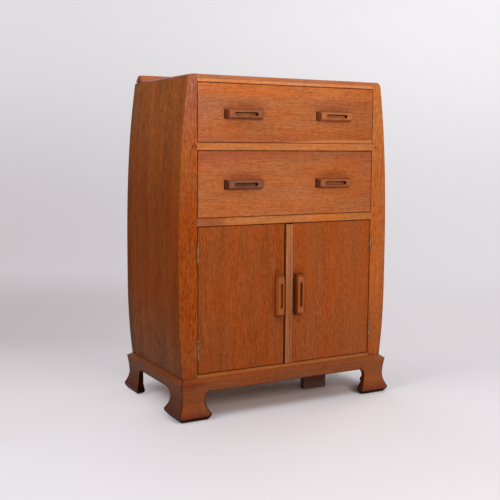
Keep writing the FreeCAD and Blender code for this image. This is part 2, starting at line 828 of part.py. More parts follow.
def make_doors():
    strip_right = meeting_strip_left + meeting_strip_width
    right_panel = hinged_board(box(strip_right, door_edge, door_face, door_back, door_bottom, door_top))
    grip, screws, catch, cuts = door_fittings(right_door_handle_offset, catch_offset)
    save("right_door_panel", cut_all(right_panel, cuts))
    save("right_door_handle", grip)
    save("right_door_catch", catch)
    save("meeting_strip", meeting_strip())
    leaves = [hinge_leaf(low, -1, 1) for low in hinge_lows]
    leaf_screws = [screw for low in hinge_lows for screw in hinge_screws(low, -1)]
    save("right_door_hinge_leaves", *leaves)
    save("right_door_screws", *(screws + leaf_screws))

    left_end = meeting_strip_left - meeting_gap
    whole = mirrored(hinged_board(box(-left_end, door_edge, door_face, door_back, door_bottom, door_top)))
    grip, screws, catch, cuts = door_fittings(-left_door_handle_offset, -catch_offset)
    save("left_door_panel", cut_all(whole, cuts))
    save("left_door_handle", grip)
    save("left_door_catch", catch)
    save("left_door_hinge_leaves", *[mirrored(leaf) for leaf in leaves])
    save("left_door_screws", *(screws + [mirrored(screw) for screw in leaf_screws]))

    frame_leaves = [leaf for low in hinge_lows for leaf in both_sides(hinge_leaf(low, 1, 0))]
    save("frame_hinge_leaves", *frame_leaves)
    frame_screws = [copy for low in hinge_lows for screw in hinge_screws(low, 1) for copy in both_sides(screw)]
    save("frame_hinge_screws", *frame_screws)
    save("hinge_pins", *[pin for low in hinge_lows for pin in both_sides(hinge_pin(low))])


os.makedirs("parts", exist_ok=True)
make_carcase_walls()
make_rails()
make_drawer_timbers()
make_cupboard()
make_base()
make_drawer("lower_drawer", head_rail_top, lower_drawer_height, lower_handle_height)
make_drawer("upper_drawer", drawer_rail_top, upper_drawer_height, upper_handle_height)
make_doors()
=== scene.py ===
"""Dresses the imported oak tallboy: eased boards, handles, mouldings, finishes, light and camera.

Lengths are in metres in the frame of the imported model: X to the viewer's right, Y to the back, Z up.
"""
from __future__ import annotations

import json
import logging
import math
from dataclasses import dataclass
from enum import Enum
from typing import Mapping, Sequence, Union

import bmesh
import bpy
import numpy as np
from mathutils import Matrix, Vector

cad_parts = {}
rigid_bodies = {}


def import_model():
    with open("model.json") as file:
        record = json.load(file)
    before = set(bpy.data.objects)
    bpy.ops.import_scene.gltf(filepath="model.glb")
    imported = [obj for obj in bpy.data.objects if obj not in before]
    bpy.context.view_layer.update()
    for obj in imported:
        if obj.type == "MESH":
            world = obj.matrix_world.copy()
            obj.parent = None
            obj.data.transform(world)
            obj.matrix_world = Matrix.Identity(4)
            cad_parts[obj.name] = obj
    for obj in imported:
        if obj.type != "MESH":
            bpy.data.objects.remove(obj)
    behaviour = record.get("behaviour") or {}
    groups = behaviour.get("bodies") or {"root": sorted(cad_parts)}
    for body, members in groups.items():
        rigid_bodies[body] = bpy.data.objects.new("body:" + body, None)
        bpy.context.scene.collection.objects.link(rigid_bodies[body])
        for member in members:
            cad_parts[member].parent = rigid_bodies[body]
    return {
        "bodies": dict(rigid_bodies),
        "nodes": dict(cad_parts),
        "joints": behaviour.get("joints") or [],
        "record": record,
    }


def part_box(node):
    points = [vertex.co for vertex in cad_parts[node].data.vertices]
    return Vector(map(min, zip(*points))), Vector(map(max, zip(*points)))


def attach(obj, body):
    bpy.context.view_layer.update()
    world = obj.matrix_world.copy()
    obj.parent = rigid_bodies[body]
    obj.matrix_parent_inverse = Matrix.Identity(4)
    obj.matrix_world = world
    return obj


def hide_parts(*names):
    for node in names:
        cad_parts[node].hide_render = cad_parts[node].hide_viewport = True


LOG = logging.getLogger("tallboy")
X, Y, Z = range(3)
MM = 0.001
FLAT = 0.6 * MM
CREASE = math.radians(32)
SOIL_AND_PAINTED_LIGHT = "soil"


class Side(Enum):
    """A side of the piece, with the sign of its X."""

    LEFT = -1
    RIGHT = 1


class Grain(Enum):
    """The axis that a board's grain runs along: its number, then those across and through the face."""

    X = (0, 2, 1)
    Y = (1, 2, 0)
    Z = (2, 0, 1)


Radii = Union[float, np.ndarray]

# Shapes


class Surface:
    """Grids and caps of points that are welded into one closed mesh."""

    def __init__(self) -> None:
        """Starts with no points."""
        self.points: list[np.ndarray] = []
        self.faces: list[list[int]] = []
        self.count = 0

    def grid(self, points: np.ndarray, closed: bool = False) -> None:
        """Adds a grid of four sided faces.

        Args:
            points: array of shape (rows, columns, 3).
            closed: whether the last column joins the first one.
        """
        rows, columns = points.shape[:2]
        index = np.arange(rows * columns).reshape(rows, columns) + self.count
        if closed:
            index = np.concatenate([index, index[:, :1]], axis=1)
        quads = np.stack([index[:-1, :-1], index[:-1, 1:], index[1:, 1:], index[1:, :-1]], axis=-1)
        self.points.append(points.reshape(-1, 3))
        self.faces += quads.reshape(-1, 4).tolist()
        self.count += rows * columns

    def cap(self, ring: np.ndarray) -> None:
        """Adds one flat face whose corners are the given ring of points.

        Args:
            ring: its corners in order, array of shape (points, 3).
        """
        self.points.append(ring)
        self.faces.append(list(range(self.count, self.count + len(ring))))
        self.count += len(ring)

    def stack(self, rings: Sequence[np.ndarray]) -> Surface:
        """Adds rings of points that follow each other, with a cap on the first and on the last.

        Args:
            rings: closed rings with the same number of points.

        Returns:
            This surface.
        """
        self.grid(np.stack(rings), closed=True)
        self.cap(rings[0])
        self.cap(rings[-1])
        return self

    def turned(self, matrix: Matrix) -> Surface:
        """The same surface with a turn, a mirror or a shift applied to its points.

        Args:
            matrix: the turn, mirror or shift, 4 by 4.

        Returns:
            This surface.
        """
        turn = np.array(matrix)
        self.points = [part @ turn[:3, :3].T + turn[:3, 3] for part in self.points]
        return self

    def joined(self, other: Surface) -> Surface:
        """This surface with another one added to it.

        Args:
            other: the surface to add.

        Returns:
            This surface.
        """
        self.points += other.points
        self.faces += [[corner + self.count for corner in face] for face in other.faces]
        self.count += other.count
        return self

    def mesh(self, name: str) -> bpy.types.Mesh:
        """Welds the points, turns the faces outwards and shades all but sharp edges smooth.

        Args:
            name: the mesh's name.

        Returns:
            The finished mesh.
        """
        mesh = bpy.data.meshes.new(name)
        mesh.from_pydata(np.concatenate(self.points).tolist(), [], self.faces)
        work = bmesh.new()
        work.from_mesh(mesh)
        bmesh.ops.remove_doubles(work, verts=work.verts, dist=2e-6)
        bmesh.ops.dissolve_degenerate(work, edges=work.edges, dist=1e-6)
        bmesh.ops.recalc_face_normals(work, faces=work.faces)
        work.to_mesh(mesh)
        work.free()
        mesh.shade_smooth()
        mesh.set_sharp_from_angle(angle=CREASE)
        return mesh


def rim_ticks(low: float, high: float, ease: float) -> np.ndarray:
    """Positions along one edge of a board.

    The eased corner's ticks are ease * (1 - tan turn), which cut its arc into even turns. A tick of FLAT
    beyond them keeps the shading of the curve off the face.

    Args:
        low: where the edge starts.
        high: where the edge ends.
        ease: radius of the eased corner.

    Returns:
        The positions, from low to high.
    """
    corner = ease * (1 - np.tan(np.linspace(math.pi / 4, 0, 3)))
    flat = min(FLAT, (high - low - 2 * ease) / 4)
    return np.concatenate([low + corner, [low + ease + flat, high - ease - flat], (high - corner)[::-1]])


def eased_board(low: np.ndarray, high: np.ndarray, ease: float) -> Surface:
    """A board with all its edges rounded over.

    Each point of a box is drawn to the nearest point of a core that is smaller by ease all round,
    and then set off from it by ease.

    Args:
        low: lowest corner.
        high: highest corner.
        ease: radius of the edges.

    Returns:
        The closed surface.
    """
    surface = Surface()
    lines = [rim_ticks(low[k], high[k], ease) for k in range(3)]
    for axis in range(3):
        first, second = (axis + 1) % 3, (axis + 2) % 3
        u, v = np.meshgrid(lines[first], lines[second], indexing="ij")
        for end in (low[axis], high[axis]):
            points = np.empty(u.shape + (3,))
            points[..., axis], points[..., first], points[..., second] = end, u, v
            core = np.clip(points, low + ease, high - ease)
            arm = points - core
            surface.grid(core + ease * arm / np.linalg.norm(arm, axis=-1, keepdims=True))
    return surface


def inward_normals(outline: np.ndarray) -> np.ndarray:
    """Mitred normals of a closed outline that runs anticlockwise, pointing into it.

    Args:
        outline: array of shape (points, 2).

    Returns:
        One normal for each point, longer at corners so that an inset keeps its width.
    """
    edge = np.roll(outline, -1, axis=0) - outline
    edge /= np.linalg.norm(edge, axis=1, keepdims=True)
    normal = np.stack([-edge[:, 1], edge[:, 0]], axis=1)
    before = np.roll(normal, 1, axis=0)
    total = normal + before
    share = 1 + np.sum(normal * before, axis=1, keepdims=True)
    return total / np.maximum(share, 0.2)


def eased_slab(outline: np.ndarray, low: float, high: float, ease: tuple[Radii, Radii],
               axes: tuple[int, int, int]) -> Surface:
    """A slab swept straight from a closed outline, its two rims rounded over.

    The rings of a rim are drawn in by ease * (1 - sin turn) at a depth of ease * (1 - cos turn). A ring
    of FLAT before and after them keeps the shading of the curve off the faces.

    Args:
        outline: array of shape (points, 2), anticlockwise.
        low: where the sweep starts.
        high: where the sweep ends.
        ease: radius of the low rim and of the high one, each one value or one for each point.
        axes: the axes of the outline's first and second coordinate and of the sweep.

    Returns:
        The closed surface.
    """
    normals = inward_normals(outline)
    rings = []
    for start, sign, radius in ((low, 1, ease[0]), (high, -1, ease[1])):
        radius = np.broadcast_to(np.asarray(radius, float), len(outline))
        steps = [(radius * (1 - math.sin(turn)), radius * (1 - math.cos(turn)))
                 for turn in np.linspace(0, math.pi / 2, 4)]
        steps = [(radius + FLAT, 0 * radius), *steps, (0 * radius, radius + FLAT)]
        for drawn, depth in steps[::sign]:
            flat = outline + normals * drawn[:, None]
            ring = np.empty((len(outline), 3))
            ring[:, axes[0]], ring[:, axes[1]] = flat[:, 0], flat[:, 1]
            ring[:, axes[2]] = start + sign * depth
            rings.append(ring)
    return Surface().stack(rings)


def arc(centre: tuple[float, float], radius: float, start: float, end: float, steps: int = 8) -> np.ndarray:
    """Points of a round stretch of an outline, from one angle to another."""
    turn = np.linspace(start, end, steps + 1)
    return np.stack([centre[0] + radius * np.cos(turn), centre[1] + radius * np.sin(turn)], axis=1)


def ring_of(half_length: float, half_width: float, radius: float) -> np.ndarray:
    """A rectangle with rounded corners as four quarter arcs.

    Args:
        half_length: half its size along the first axis.
        half_width: half its size along the second axis.
        radius: radius of its corners.

    Returns:
        Array of shape (points, 2), anticlockwise; any two rings match point for point.
    """
    corners = []
    for quarter, (x, y) in enumerate(((1, 1), (-1, 1), (-1, -1), (1, -1))):
        centre = (x * (half_length - radius), y * (half_width - radius))
        corners.append(arc(centre, radius, quarter * math.pi / 2, (quarter + 1) * math.pi / 2, 6))
    return np.concatenate(corners)


@dataclass(frozen=True)
class Bow:
    """The bowed outer line of the carcase, as half its width at each height."""

    half_opening: float = 320 * MM
    foot_width: float = 47.4 * MM
    widest_width: float = 62.3 * MM
    head_width: float = 27.1 * MM
    foot_z: float = 126.5 * MM
    widest_z: float = 415 * MM
    head_z: float = 1042 * MM
    lower_power: float = 2.5
    upper_power: float = 2.7
    corner: float = 14 * MM

    def half_width(self, z: np.ndarray) -> np.ndarray:
        """Half the width at height z: the widest, less a drop times a power of the way to the end.

        Args:
            z: heights.

        Returns:
            Half the width at each of them.
        """
        above = z >= self.widest_z
        reach = np.where(above, self.head_z - self.widest_z, self.widest_z - self.foot_z)
        drop = self.widest_width - np.where(above, self.head_width, self.foot_width)
        power = np.where(above, self.upper_power, self.lower_power)
        return self.half_opening + self.widest_width - drop * (np.abs(z - self.widest_z) / reach) ** power

    def line(self, low: float, high: float, inset: float = 0, steps: int = 36) -> np.ndarray:
        """Points up the right side between two heights, drawn in by inset."""
        z = np.linspace(low, high, steps)
        return np.stack([self.half_width(z) - inset, z], axis=1)

    def shoulder(self) -> np.ndarray:
        """The right side from the foot up, then round the top corner onto the top.

        Returns:
            Array of shape (points, 2).
        """
        spring = self.head_z - self.corner
        edge = float(self.half_width(np.array(spring)))
        bend = arc((edge - self.corner, spring), self.corner, 0, math.pi / 2)
        return np.concatenate([self.line(self.foot_z, spring)[:-1], bend])


@dataclass(frozen=True)
class Moulding:
    """The profile of the base boards, as how far the face stands out at each height."""

    lip_z: float = 11 * MM
    toe_z: float = 19.5 * MM
    waist_z: float = 64 * MM
    edge_z: float = 117 * MM
    top_z: float = 126.5 * MM
    sole: float = 12 * MM
    lip: float = 20.5 * MM
    toe: float = 22 * MM
    waist: float = 8.3 * MM
    edge: float = 14.3 * MM
    flare_power: float = 1.9
    edge_power: float = 1.6

    def projection(self, z: np.ndarray) -> np.ndarray:
        """How far the face stands out at height z.

        It runs straight from the sole over the lip to the toe, draws in to the waist and out to the edge
        by powers of the way along, and falls to nothing over the bevel.

        Args:
            z: heights.

        Returns:
            The projection at each of them.
        """
        low = np.interp(z, [0, self.lip_z, self.toe_z], [self.sole, self.lip, self.toe])
        down = np.clip((self.waist_z - z) / (self.waist_z - self.toe_z), 0, 1) ** self.flare_power
        up = np.clip((z - self.waist_z) / (self.edge_z - self.waist_z), 0, 1) ** self.edge_power
        curve = self.waist + (self.toe - self.waist) * down + (self.edge - self.waist) * up
        bevel = np.interp(z, [self.edge_z, self.top_z], [self.edge, 0])
        return np.where(z < self.toe_z, low, np.where(z < self.edge_z, curve, bevel))


# Finishes


class Socket:
    """One value in a shader; sums, products and the like on it add Math nodes."""

    def __init__(self, shader: Shader, output: Union[bpy.types.NodeSocket, None]) -> None:
        """Wraps a node's output."""
        self.shader = shader
        self.output = output

    def maths(self, operation: str, *values: Value) -> Socket:
        """The result of a Math node on the given values."""
        return self.shader.node("Math", {"operation": operation}, dict(enumerate(values)))

    def __add__(self, other: Value) -> Socket:
        """This value plus another."""
        return self.maths("ADD", self, other)

    def __sub__(self, other: Value) -> Socket:
        """This value less another."""
        return self.maths("SUBTRACT", self, other)

    def __rsub__(self, other: Value) -> Socket:
        """Another value less this one."""
        return self.maths("SUBTRACT", other, self)

    def __mul__(self, other: Value) -> Socket:
        """This value times another."""
        return self.maths("MULTIPLY", self, other)

    __radd__ = __add__
    __rmul__ = __mul__

    def __truediv__(self, other: Value) -> Socket:
        """This value divided by another."""
        return self.maths("DIVIDE", self, other)

    def size(self) -> Socket:
        """This value without its sign."""
        return self.maths("ABSOLUTE", self)

    def least(self, other: Value) -> Socket:
        """The smaller of this value and another."""
        return self.maths("MINIMUM", self, other)

    def most(self, other: Value) -> Socket:
        """The larger of this value and another."""
        return self.maths("MAXIMUM", self, other)

    def step(self, low: float, high: float) -> Socket:
        """A soft step: 0 below low, 1 above high, or the other way round where low is the larger.

        Args:
            low: value at which the step is 0.
            high: value at which it is 1.

        Returns:
            The step's value.
        """
        span = {"From Min": min(low, high), "From Max": max(low, high), "To Min": 0.0, "To Max": 1.0}
        if low > high:
            span.update({"To Min": 1.0, "To Max": 0.0})
        return self.shader.node("MapRange", {"interpolation_type": "SMOOTHSTEP"}, {"Value": self, **span})


Value = Union[Socket, float]
Colour = tuple[float, float, float]
Place = tuple[float, float, float]
Span = tuple[float, float]


class Shader:
    """The node tree of a material, or of the world, under construction."""

    def __init__(self, owner: Union[bpy.types.Material, bpy.types.World]) -> None:
        """Starts with an empty tree.

        Args:
            owner: the material or the world.
        """
        owner.use_nodes = True
        self.owner = owner
        self.tree = owner.node_tree
        self.tree.nodes.clear()

    def node(self, kind: str, settings: Union[Mapping[str, object], None] = None,
             values: Union[Mapping[Union[str, int], object], None] = None,
             output: Union[str, int] = 0) -> Socket:
        """Adds a node.

        Args:
            kind: the node's type without its ShaderNode prefix.
            settings: the node's own settings, set first; stops are a ramp's positions and colours.
            values: a number, a colour, a vector or a link for each socket that isn't left alone.
            output: name or number of the output that is wanted.

        Returns:
            That output.
        """
        node = self.tree.nodes.new("ShaderNode" + kind)
        for name, setting in (settings or {}).items():
            if name == "stops":
                self.set_stops(node.color_ramp, setting)
            else:
                setattr(node, name, setting)
        for name, value in (values or {}).items():
            socket = node.inputs[name]
            if isinstance(value, Socket):
                self.tree.links.new(value.output, socket)
            elif isinstance(value, tuple) and len(value) < len(getattr(socket, "default_value", ())):
                socket.default_value = (*value, 1.0)
            else:
                socket.default_value = value
        return Socket(self, node.outputs[output] if node.outputs else None)

    @staticmethod
    def set_stops(ramp: bpy.types.ColorRamp, stops: Sequence[tuple[float, Colour]]) -> None:
        """Gives a ramp its stops.

        Args:
            ramp: the colour ramp.
            stops: position and colour of each stop.
        """
        while len(ramp.elements) < len(stops):
            ramp.elements.new(1.0)
        for element, (place, colour) in zip(ramp.elements, stops):
            element.position = place
            element.color = (*colour, 1.0)

    def position(self) -> list[Socket]:
        """X, Y and Z of the point that is shaded."""
        place = self.node("TexCoord", output="Object")
        return [self.node("SeparateXYZ", {}, {0: place}, axis) for axis in range(3)]

    def noise(self, x: Value, y: Value, z: Value, detail: float = 2.0) -> Socket:
        """Smooth noise, about 0 to 1, at a point given by three values."""
        point = self.node("CombineXYZ", {}, {0: x, 1: y, 2: z})
        return self.node("TexNoise", {}, {"Vector": point, "Scale": 1.0, "Detail": detail})

    def attribute(self, name: str) -> Socket:
        """The value that the mesh carries at each point under a name."""
        return self.node("Attribute", {"attribute_name": name}, output="Fac")

    def mix(self, factor: Value, first: object, second: object, blend: str = "MIX") -> Socket:
        """A mix of two colours."""
        return self.node("Mix", {"data_type": "RGBA", "blend_type": blend, "clamp_factor": True},
                         {0: factor, 6: first, 7: second}, 2)

    def finish(self, colour: object, roughness: Value, height: Value, lift: float,
               constants: Mapping[str, float]) -> bpy.types.Material:
        """Puts the surface together.

        Args:
            colour: base colour.
            roughness: roughness.
            height: height that feeds the bump, 0 to 1.
            lift: the height of 1, in metres.
            constants: plain numbers for other sockets of the surface.

        Returns:
            The finished material.
        """
        bump = self.node("Bump", {}, {"Strength": 1.0, "Distance": lift, "Height": height})
        return self.finished(self.surface({"Base Color": colour, "Roughness": roughness, "Normal": bump,
                                           **constants}))

    def surface(self, values: Mapping[str, object]) -> Socket:
        """A surface with the given values."""
        return self.node("BsdfPrincipled", {}, values)

    def blend(self, factor: Value, first: Socket, second: Socket) -> Socket:
        """A blend of two surfaces."""
        return self.node("MixShader", {}, {0: factor, 1: first, 2: second})

    def finished(self, surface: Socket) -> bpy.types.Material:
        """The material with this surface."""
        self.node("OutputMaterial", {}, {"Surface": surface})
        return self.owner

    def seen(self) -> Socket:
        """1 for what the camera sees, also in a gloss or through glass, and 0 for what only lights.

        Returns:
            The mask.
        """
        kinds = ("Is Camera Ray", "Is Glossy Ray", "Is Transmission Ray")
        camera, glossy, through = (self.node("LightPath", output=kind) for kind in kinds)
        return (camera + glossy + through).least(1.0)


class Patch:
    """A tint on some part of a finish: each kind says by its mask where it lies."""

    tint: Colour
    strength: float = 1.0
    blend: str = "MULTIPLY"

    def mask(self, shader: Shader, place: list[Socket], rag: Socket) -> Socket:
        """How much of the tint a point gets, 0 to 1."""
        raise NotImplementedError

    def laid_on(self, shader: Shader, colour: Socket, place: list[Socket], rag: Socket) -> Socket:
        """The colour with the tint laid on it."""
        return shader.mix(self.mask(shader, place, rag) * self.strength, colour, self.tint, self.blend)


@dataclass(frozen=True)
class Mark(Patch):
    """A soft patch, such as the dark of hands round a handle."""

    centre: Place
    reach: Place
    tint: Colour
    strength: float = 1.0
    core: float = 0.35
    ragged: float = 0.5

    def mask(self, shader: Shader, place: list[Socket], rag: Socket) -> Socket:
        """Fades with the distance from the centre, each axis divided by its reach.

        Args:
            shader: the material under construction; not used.
            place: X, Y and Z of the point.
            rag: noise that makes an edge ragged.

        Returns:
            The mask, 0 to 1.
        """
        total: Value = 0.0
        for value, centre, reach in zip(place, self.centre, self.reach):
            part = (value - centre) / reach
            total = part * part + total
        distance = total.maths("SQRT", total) + (rag - 0.5) * self.ragged
        return distance.step(1.0, self.core)


@dataclass(frozen=True)
class Rim(Patch):
    """Painted shade of the gaps round a board: its face darker towards its edges in X and Z, between two
    corners.
    """

    low: Sequence[float]
    high: Sequence[float]
    width: float = 3 * MM
    tint: Colour = (0.50, 0.28, 0.20)
    strength: float = 0.8

    def mask(self, shader: Shader, place: list[Socket], rag: Socket) -> Socket:
        """Grows towards the nearest edge.

        Args:
            shader: the material under construction; not used.
            place: X, Y and Z of the point.
            rag: noise that makes an edge ragged.

        Returns:
            The mask, 0 to 1.
        """
        gap: Value = 1.0
        for axis in (X, Z):
            gap = (place[axis] - self.low[axis]).least(self.high[axis] - place[axis]).least(gap)
        return (gap + (rag - 0.5) * self.width).step(self.width, 0.0)


@dataclass(frozen=True)
class Wedge(Patch):
    """A paler strip along the foot of a face that grows from nothing at start to rise at end, and stays."""

    start: float
    end: float
    foot: float
    rise: float
    tint: Colour
    strength: float = 0.8
    ragged: float = 1.5 * MM
    softness: float = 1.2 * MM
    blend: str = "MIX"

    def mask(self, shader: Shader, place: list[Socket], rag: Socket) -> Socket:
        """Lies below a line that climbs along X and then runs level."""
        line = ((place[X] - self.start) * (self.rise / (self.end - self.start))).least(self.rise) + self.foot
        return (line + (rag - 0.5) * self.ragged - place[Z]).step(0.0, self.softness)


@dataclass(frozen=True)
class SoilAndPaintedLight(Patch):
    """Base dirt, and painted light and shade on a handle's slot walls, read from the values named soil."""

    tint: Colour
    strength: float = 0.9

    def mask(self, shader: Shader, place: list[Socket], rag: Socket) -> Socket:
        """Lies where the values are high."""
        return (shader.attribute(SOIL_AND_PAINTED_LIGHT) + (rag - 0.5) * 0.5).step(0.2, 0.9)


@dataclass(frozen=True)
class Fade(Patch):
    """A slow change of tone along one axis, from none at start to all of it at end."""

    axis: int
    start: float
    end: float
    tint: Colour

    def mask(self, shader: Shader, place: list[Socket], rag: Socket) -> Socket:
        """Grows from start to end."""
        return place[self.axis].step(self.start, self.end)


class Figure(Enum):
    """The layers of the grain: how often each changes in a metre along it, its width across, its detail."""

    STREAKS = (8.0, 9 * MM, 2.0)
    LINES = (11.0, 2.6 * MM, 2.0)
    DASHES = (60.0, 3.2 * MM, 2.0)
    FIBRES = (75.0, 1.1 * MM, 1.0)
    PORES = (80.0, 0.8 * MM, 1.0)


@dataclass(frozen=True)
class Oak:
    """Oak under wax: bands, streaks, lines and dashes along the grain, warm and cool patches, pores, rays."""

    tone: Colour
    bands: float = 0.25
    streaks: float = 0.2
    dashes: float = 0.6
    lines: float = 0.5
    fibres: float = 0.5
    patches: float = 1.0
    rays: float = 0.3
    ray_slant: float = 0.25
    pores: float = 0.25
    roughness: float = 0.46
    gloss: float = 0.1
    band_width: float = 45 * MM
    wander: Span = (18 * MM, 10 * MM)
    wander_scale: Span = (2.3, 6.0)
    patch_size: float = 70 * MM
    ray_scale: Span = (210.0, 42.0)
    rag_scale: float = 45.0
    stops: Place = (0.15, 0.5, 0.85)
    lift: float = 0.1 * MM
    dark: Colour = (0.66, 0.52, 0.38)
    light: Colour = (1.36, 1.48, 1.6)
    warm: Colour = (1.05, 0.95, 0.82)
    cool: Colour = (0.95, 1.04, 1.2)
    pore: Colour = (0.5, 0.42, 0.36)
    sheen: Colour = (1.0, 0.55, 0.25)

    def material(self, name: str, grain: Grain, shift: float,
                 marks: Sequence[Patch] = ()) -> bpy.types.Material:
        """The finish of one board, all its figure drawn from noise that is stretched along the grain.

        Args:
            name: the material's name.
            grain: the axis of the grain.
            shift: moves the pattern, so that no two boards match.
            marks: soft patches, stains and painted light and shade on this board.

        Returns:
            The material.
        """
        shader = Shader(bpy.data.materials.new(name))
        place = shader.position()
        along, across, depth = (place[axis] for axis in grain.value)
        run = along + shift
        slow, wide = self.wander_scale
        wander = shader.noise(run * slow, across * wide, depth * wide) - 0.5
        across = across + wander * self.wander[0]
        depth = depth + wander * self.wander[1]

        def layer(per_metre: float, width: float, detail: float) -> Socket:
            """Noise stretched along the grain, centred on 0."""
            return shader.noise(run * per_metre, across / width, depth / width, detail) - 0.5

        bands = layer(1.6, self.band_width, 3.0)
        streaks, lines, dashes, fibres, pores = (layer(*figure.value) for figure in Figure)
        tone = (bands * self.bands + streaks * self.streaks + lines * self.lines + dashes * self.dashes
                + fibres * self.fibres + 0.5)
        shades = [tuple(part * share for part, share in zip(self.tone, shade))
                  for shade in (self.dark, (1.0, 1.0, 1.0), self.light)]
        colour = shader.node("ValToRGB", {"stops": list(zip(self.stops, shades))}, {0: tone})

        patch = shader.noise(run * 4.0, across / self.patch_size, depth / self.patch_size).step(0.36, 0.64)
        colour = shader.mix(self.patches, colour, shader.mix(patch, self.warm, self.cool), "MULTIPLY")
        pore = (pores + bands * 0.3).step(0.1, 0.22)
        colour = shader.mix(pore * self.pores, colour, self.pore, "MULTIPLY")
        slanted = run + across * self.ray_slant
        fine, wide = self.ray_scale
        ray = shader.noise(slanted * fine, across * wide, depth * wide, 1.0).step(0.58, 0.72)
        colour = shader.mix(ray * self.rays, colour, shades[2])

        rag = shader.noise(*(part * self.rag_scale for part in place), 3.0)
        for mark in marks:
            colour = mark.laid_on(shader, colour, place, rag)
        roughness = rag * 0.12 + dashes * 0.15 + pore * 0.15 + (self.roughness - 0.06)
        height = fibres * 0.35 + dashes * 0.3 + ray * 0.2 - pore * 0.6 + 0.6
        return shader.finish(colour, roughness, height, self.lift,
                             {"Specular IOR Level": self.gloss, "Specular Tint": self.sheen})


@dataclass(frozen=True)
class Metal:
    """Old metal, dulled in patches."""

    bright: Colour
    dull: Colour
    roughness: float
    patch_scale: Place = (160.0, 160.0, 90.0)
    scratch_scale: Place = (2500.0, 2500.0, 300.0)
    lift: float = 0.05 * MM

    def material(self, name: str) -> bpy.types.Material:
        """The finish, the same on every piece that has it.

        Args:
            name: the material's name.

        Returns:
            The material.
        """
        shader = Shader(bpy.data.materials.new(name))
        place = shader.position()
        patch = shader.noise(*(part * scale for part, scale in zip(place, self.patch_scale)), 3.0)
        scratch = shader.noise(*(part * scale for part, scale in zip(place, self.scratch_scale)), 1.0)
        colour = shader.mix(patch.step(0.42, 0.62), self.bright, self.dull)
        roughness = patch * 0.25 + scratch * 0.1 + (self.roughness - 0.15)
        return shader.finish(colour, roughness, scratch * 0.4 + patch * 0.6, self.lift, {"Metallic": 1.0})


@dataclass
class Finishes:
    """Every finish of the piece; a board's own marks are added where it is built."""

    upper_drawer: Oak = Oak((0.395, 0.116, 0.0345), dashes=0.8, lines=0.65, fibres=0.6)
    lower_drawer: Oak = Oak((0.395, 0.114, 0.033), dashes=0.8, lines=0.65, fibres=0.6)
    left_door: Oak = Oak((0.268, 0.058, 0.0105), bands=0.5, lines=0.8, dashes=0.9, fibres=0.9)
    right_door: Oak = Oak((0.296, 0.066, 0.0133), bands=0.45, lines=0.6, dashes=0.8, fibres=0.9)
    left_stile: Oak = Oak((0.268, 0.052, 0.0064), lines=0.7, dashes=1.6, gloss=0.05)
    right_stile: Oak = Oak((0.376, 0.098, 0.020), lines=0.7, dashes=1.2)
    # The left side's tone is darker than the stiles and doors of the same oak: painted shade on that side.
    left_side: Oak = Oak((0.190, 0.038, 0.0028), bands=1.1, lines=1.5, dashes=1.0, fibres=1.0, gloss=0.02)
    right_side: Oak = Oak((0.235, 0.062, 0.0135), bands=0.7, lines=1.0, dashes=0.8, fibres=0.8, gloss=0.06)
    top: Oak = Oak((0.378, 0.113, 0.032), gloss=0.3, sheen=(1.0, 0.9, 0.8))
    gallery: Oak = Oak((0.430, 0.132, 0.049))
    top_rail: Oak = Oak((0.580, 0.220, 0.086))
    drawer_rail: Oak = Oak((0.443, 0.146, 0.040), rays=0.7, ray_slant=1.4)
    head_rail: Oak = Oak((0.440, 0.136, 0.034), rays=0.5, ray_slant=1.0)
    bottom_rail: Oak = Oak((0.325, 0.102, 0.025))
    strip: Oak = Oak((0.410, 0.150, 0.058), bands=0.6, lines=0.8, band_width=6 * MM, rays=0.1)
    base: Oak = Oak((0.210, 0.059, 0.0195), gloss=0.06)
    # A darker copy of the base's oak: painted shade on the side and back boards.
    base_side: Oak = Oak((0.132, 0.0425, 0.0165), gloss=0.04)
    handle: Oak = Oak((0.295, 0.096, 0.038), rays=0.1, roughness=0.4)
    bright_handle: Oak = Oak((0.385, 0.135, 0.053), rays=0.1, roughness=0.4)
    dull_handle: Oak = Oak((0.220, 0.078, 0.040), rays=0.1, roughness=0.4)
    door_handle: Oak = Oak((0.305, 0.086, 0.024), rays=0.1, roughness=0.4)
    lining: Oak = Oak((0.470, 0.290, 0.150), patches=0.6, roughness=0.62, light=(1.2, 1.25, 1.35))
    plywood: Oak = Oak((0.460, 0.310, 0.180), bands=0.12, patches=0.3, roughness=0.66, rays=0.0,
                       light=(1.15, 1.2, 1.3))
    rough: Oak = Oak((0.150, 0.070, 0.055), roughness=0.75, rays=0.0)
    peg: Oak = Oak((0.120, 0.030, 0.008), rays=0.0)
    brass: Metal = Metal((0.30, 0.19, 0.09), (0.12, 0.075, 0.04), 0.5)
    steel: Metal = Metal((0.42, 0.40, 0.37), (0.16, 0.14, 0.12), 0.42)


# The piece


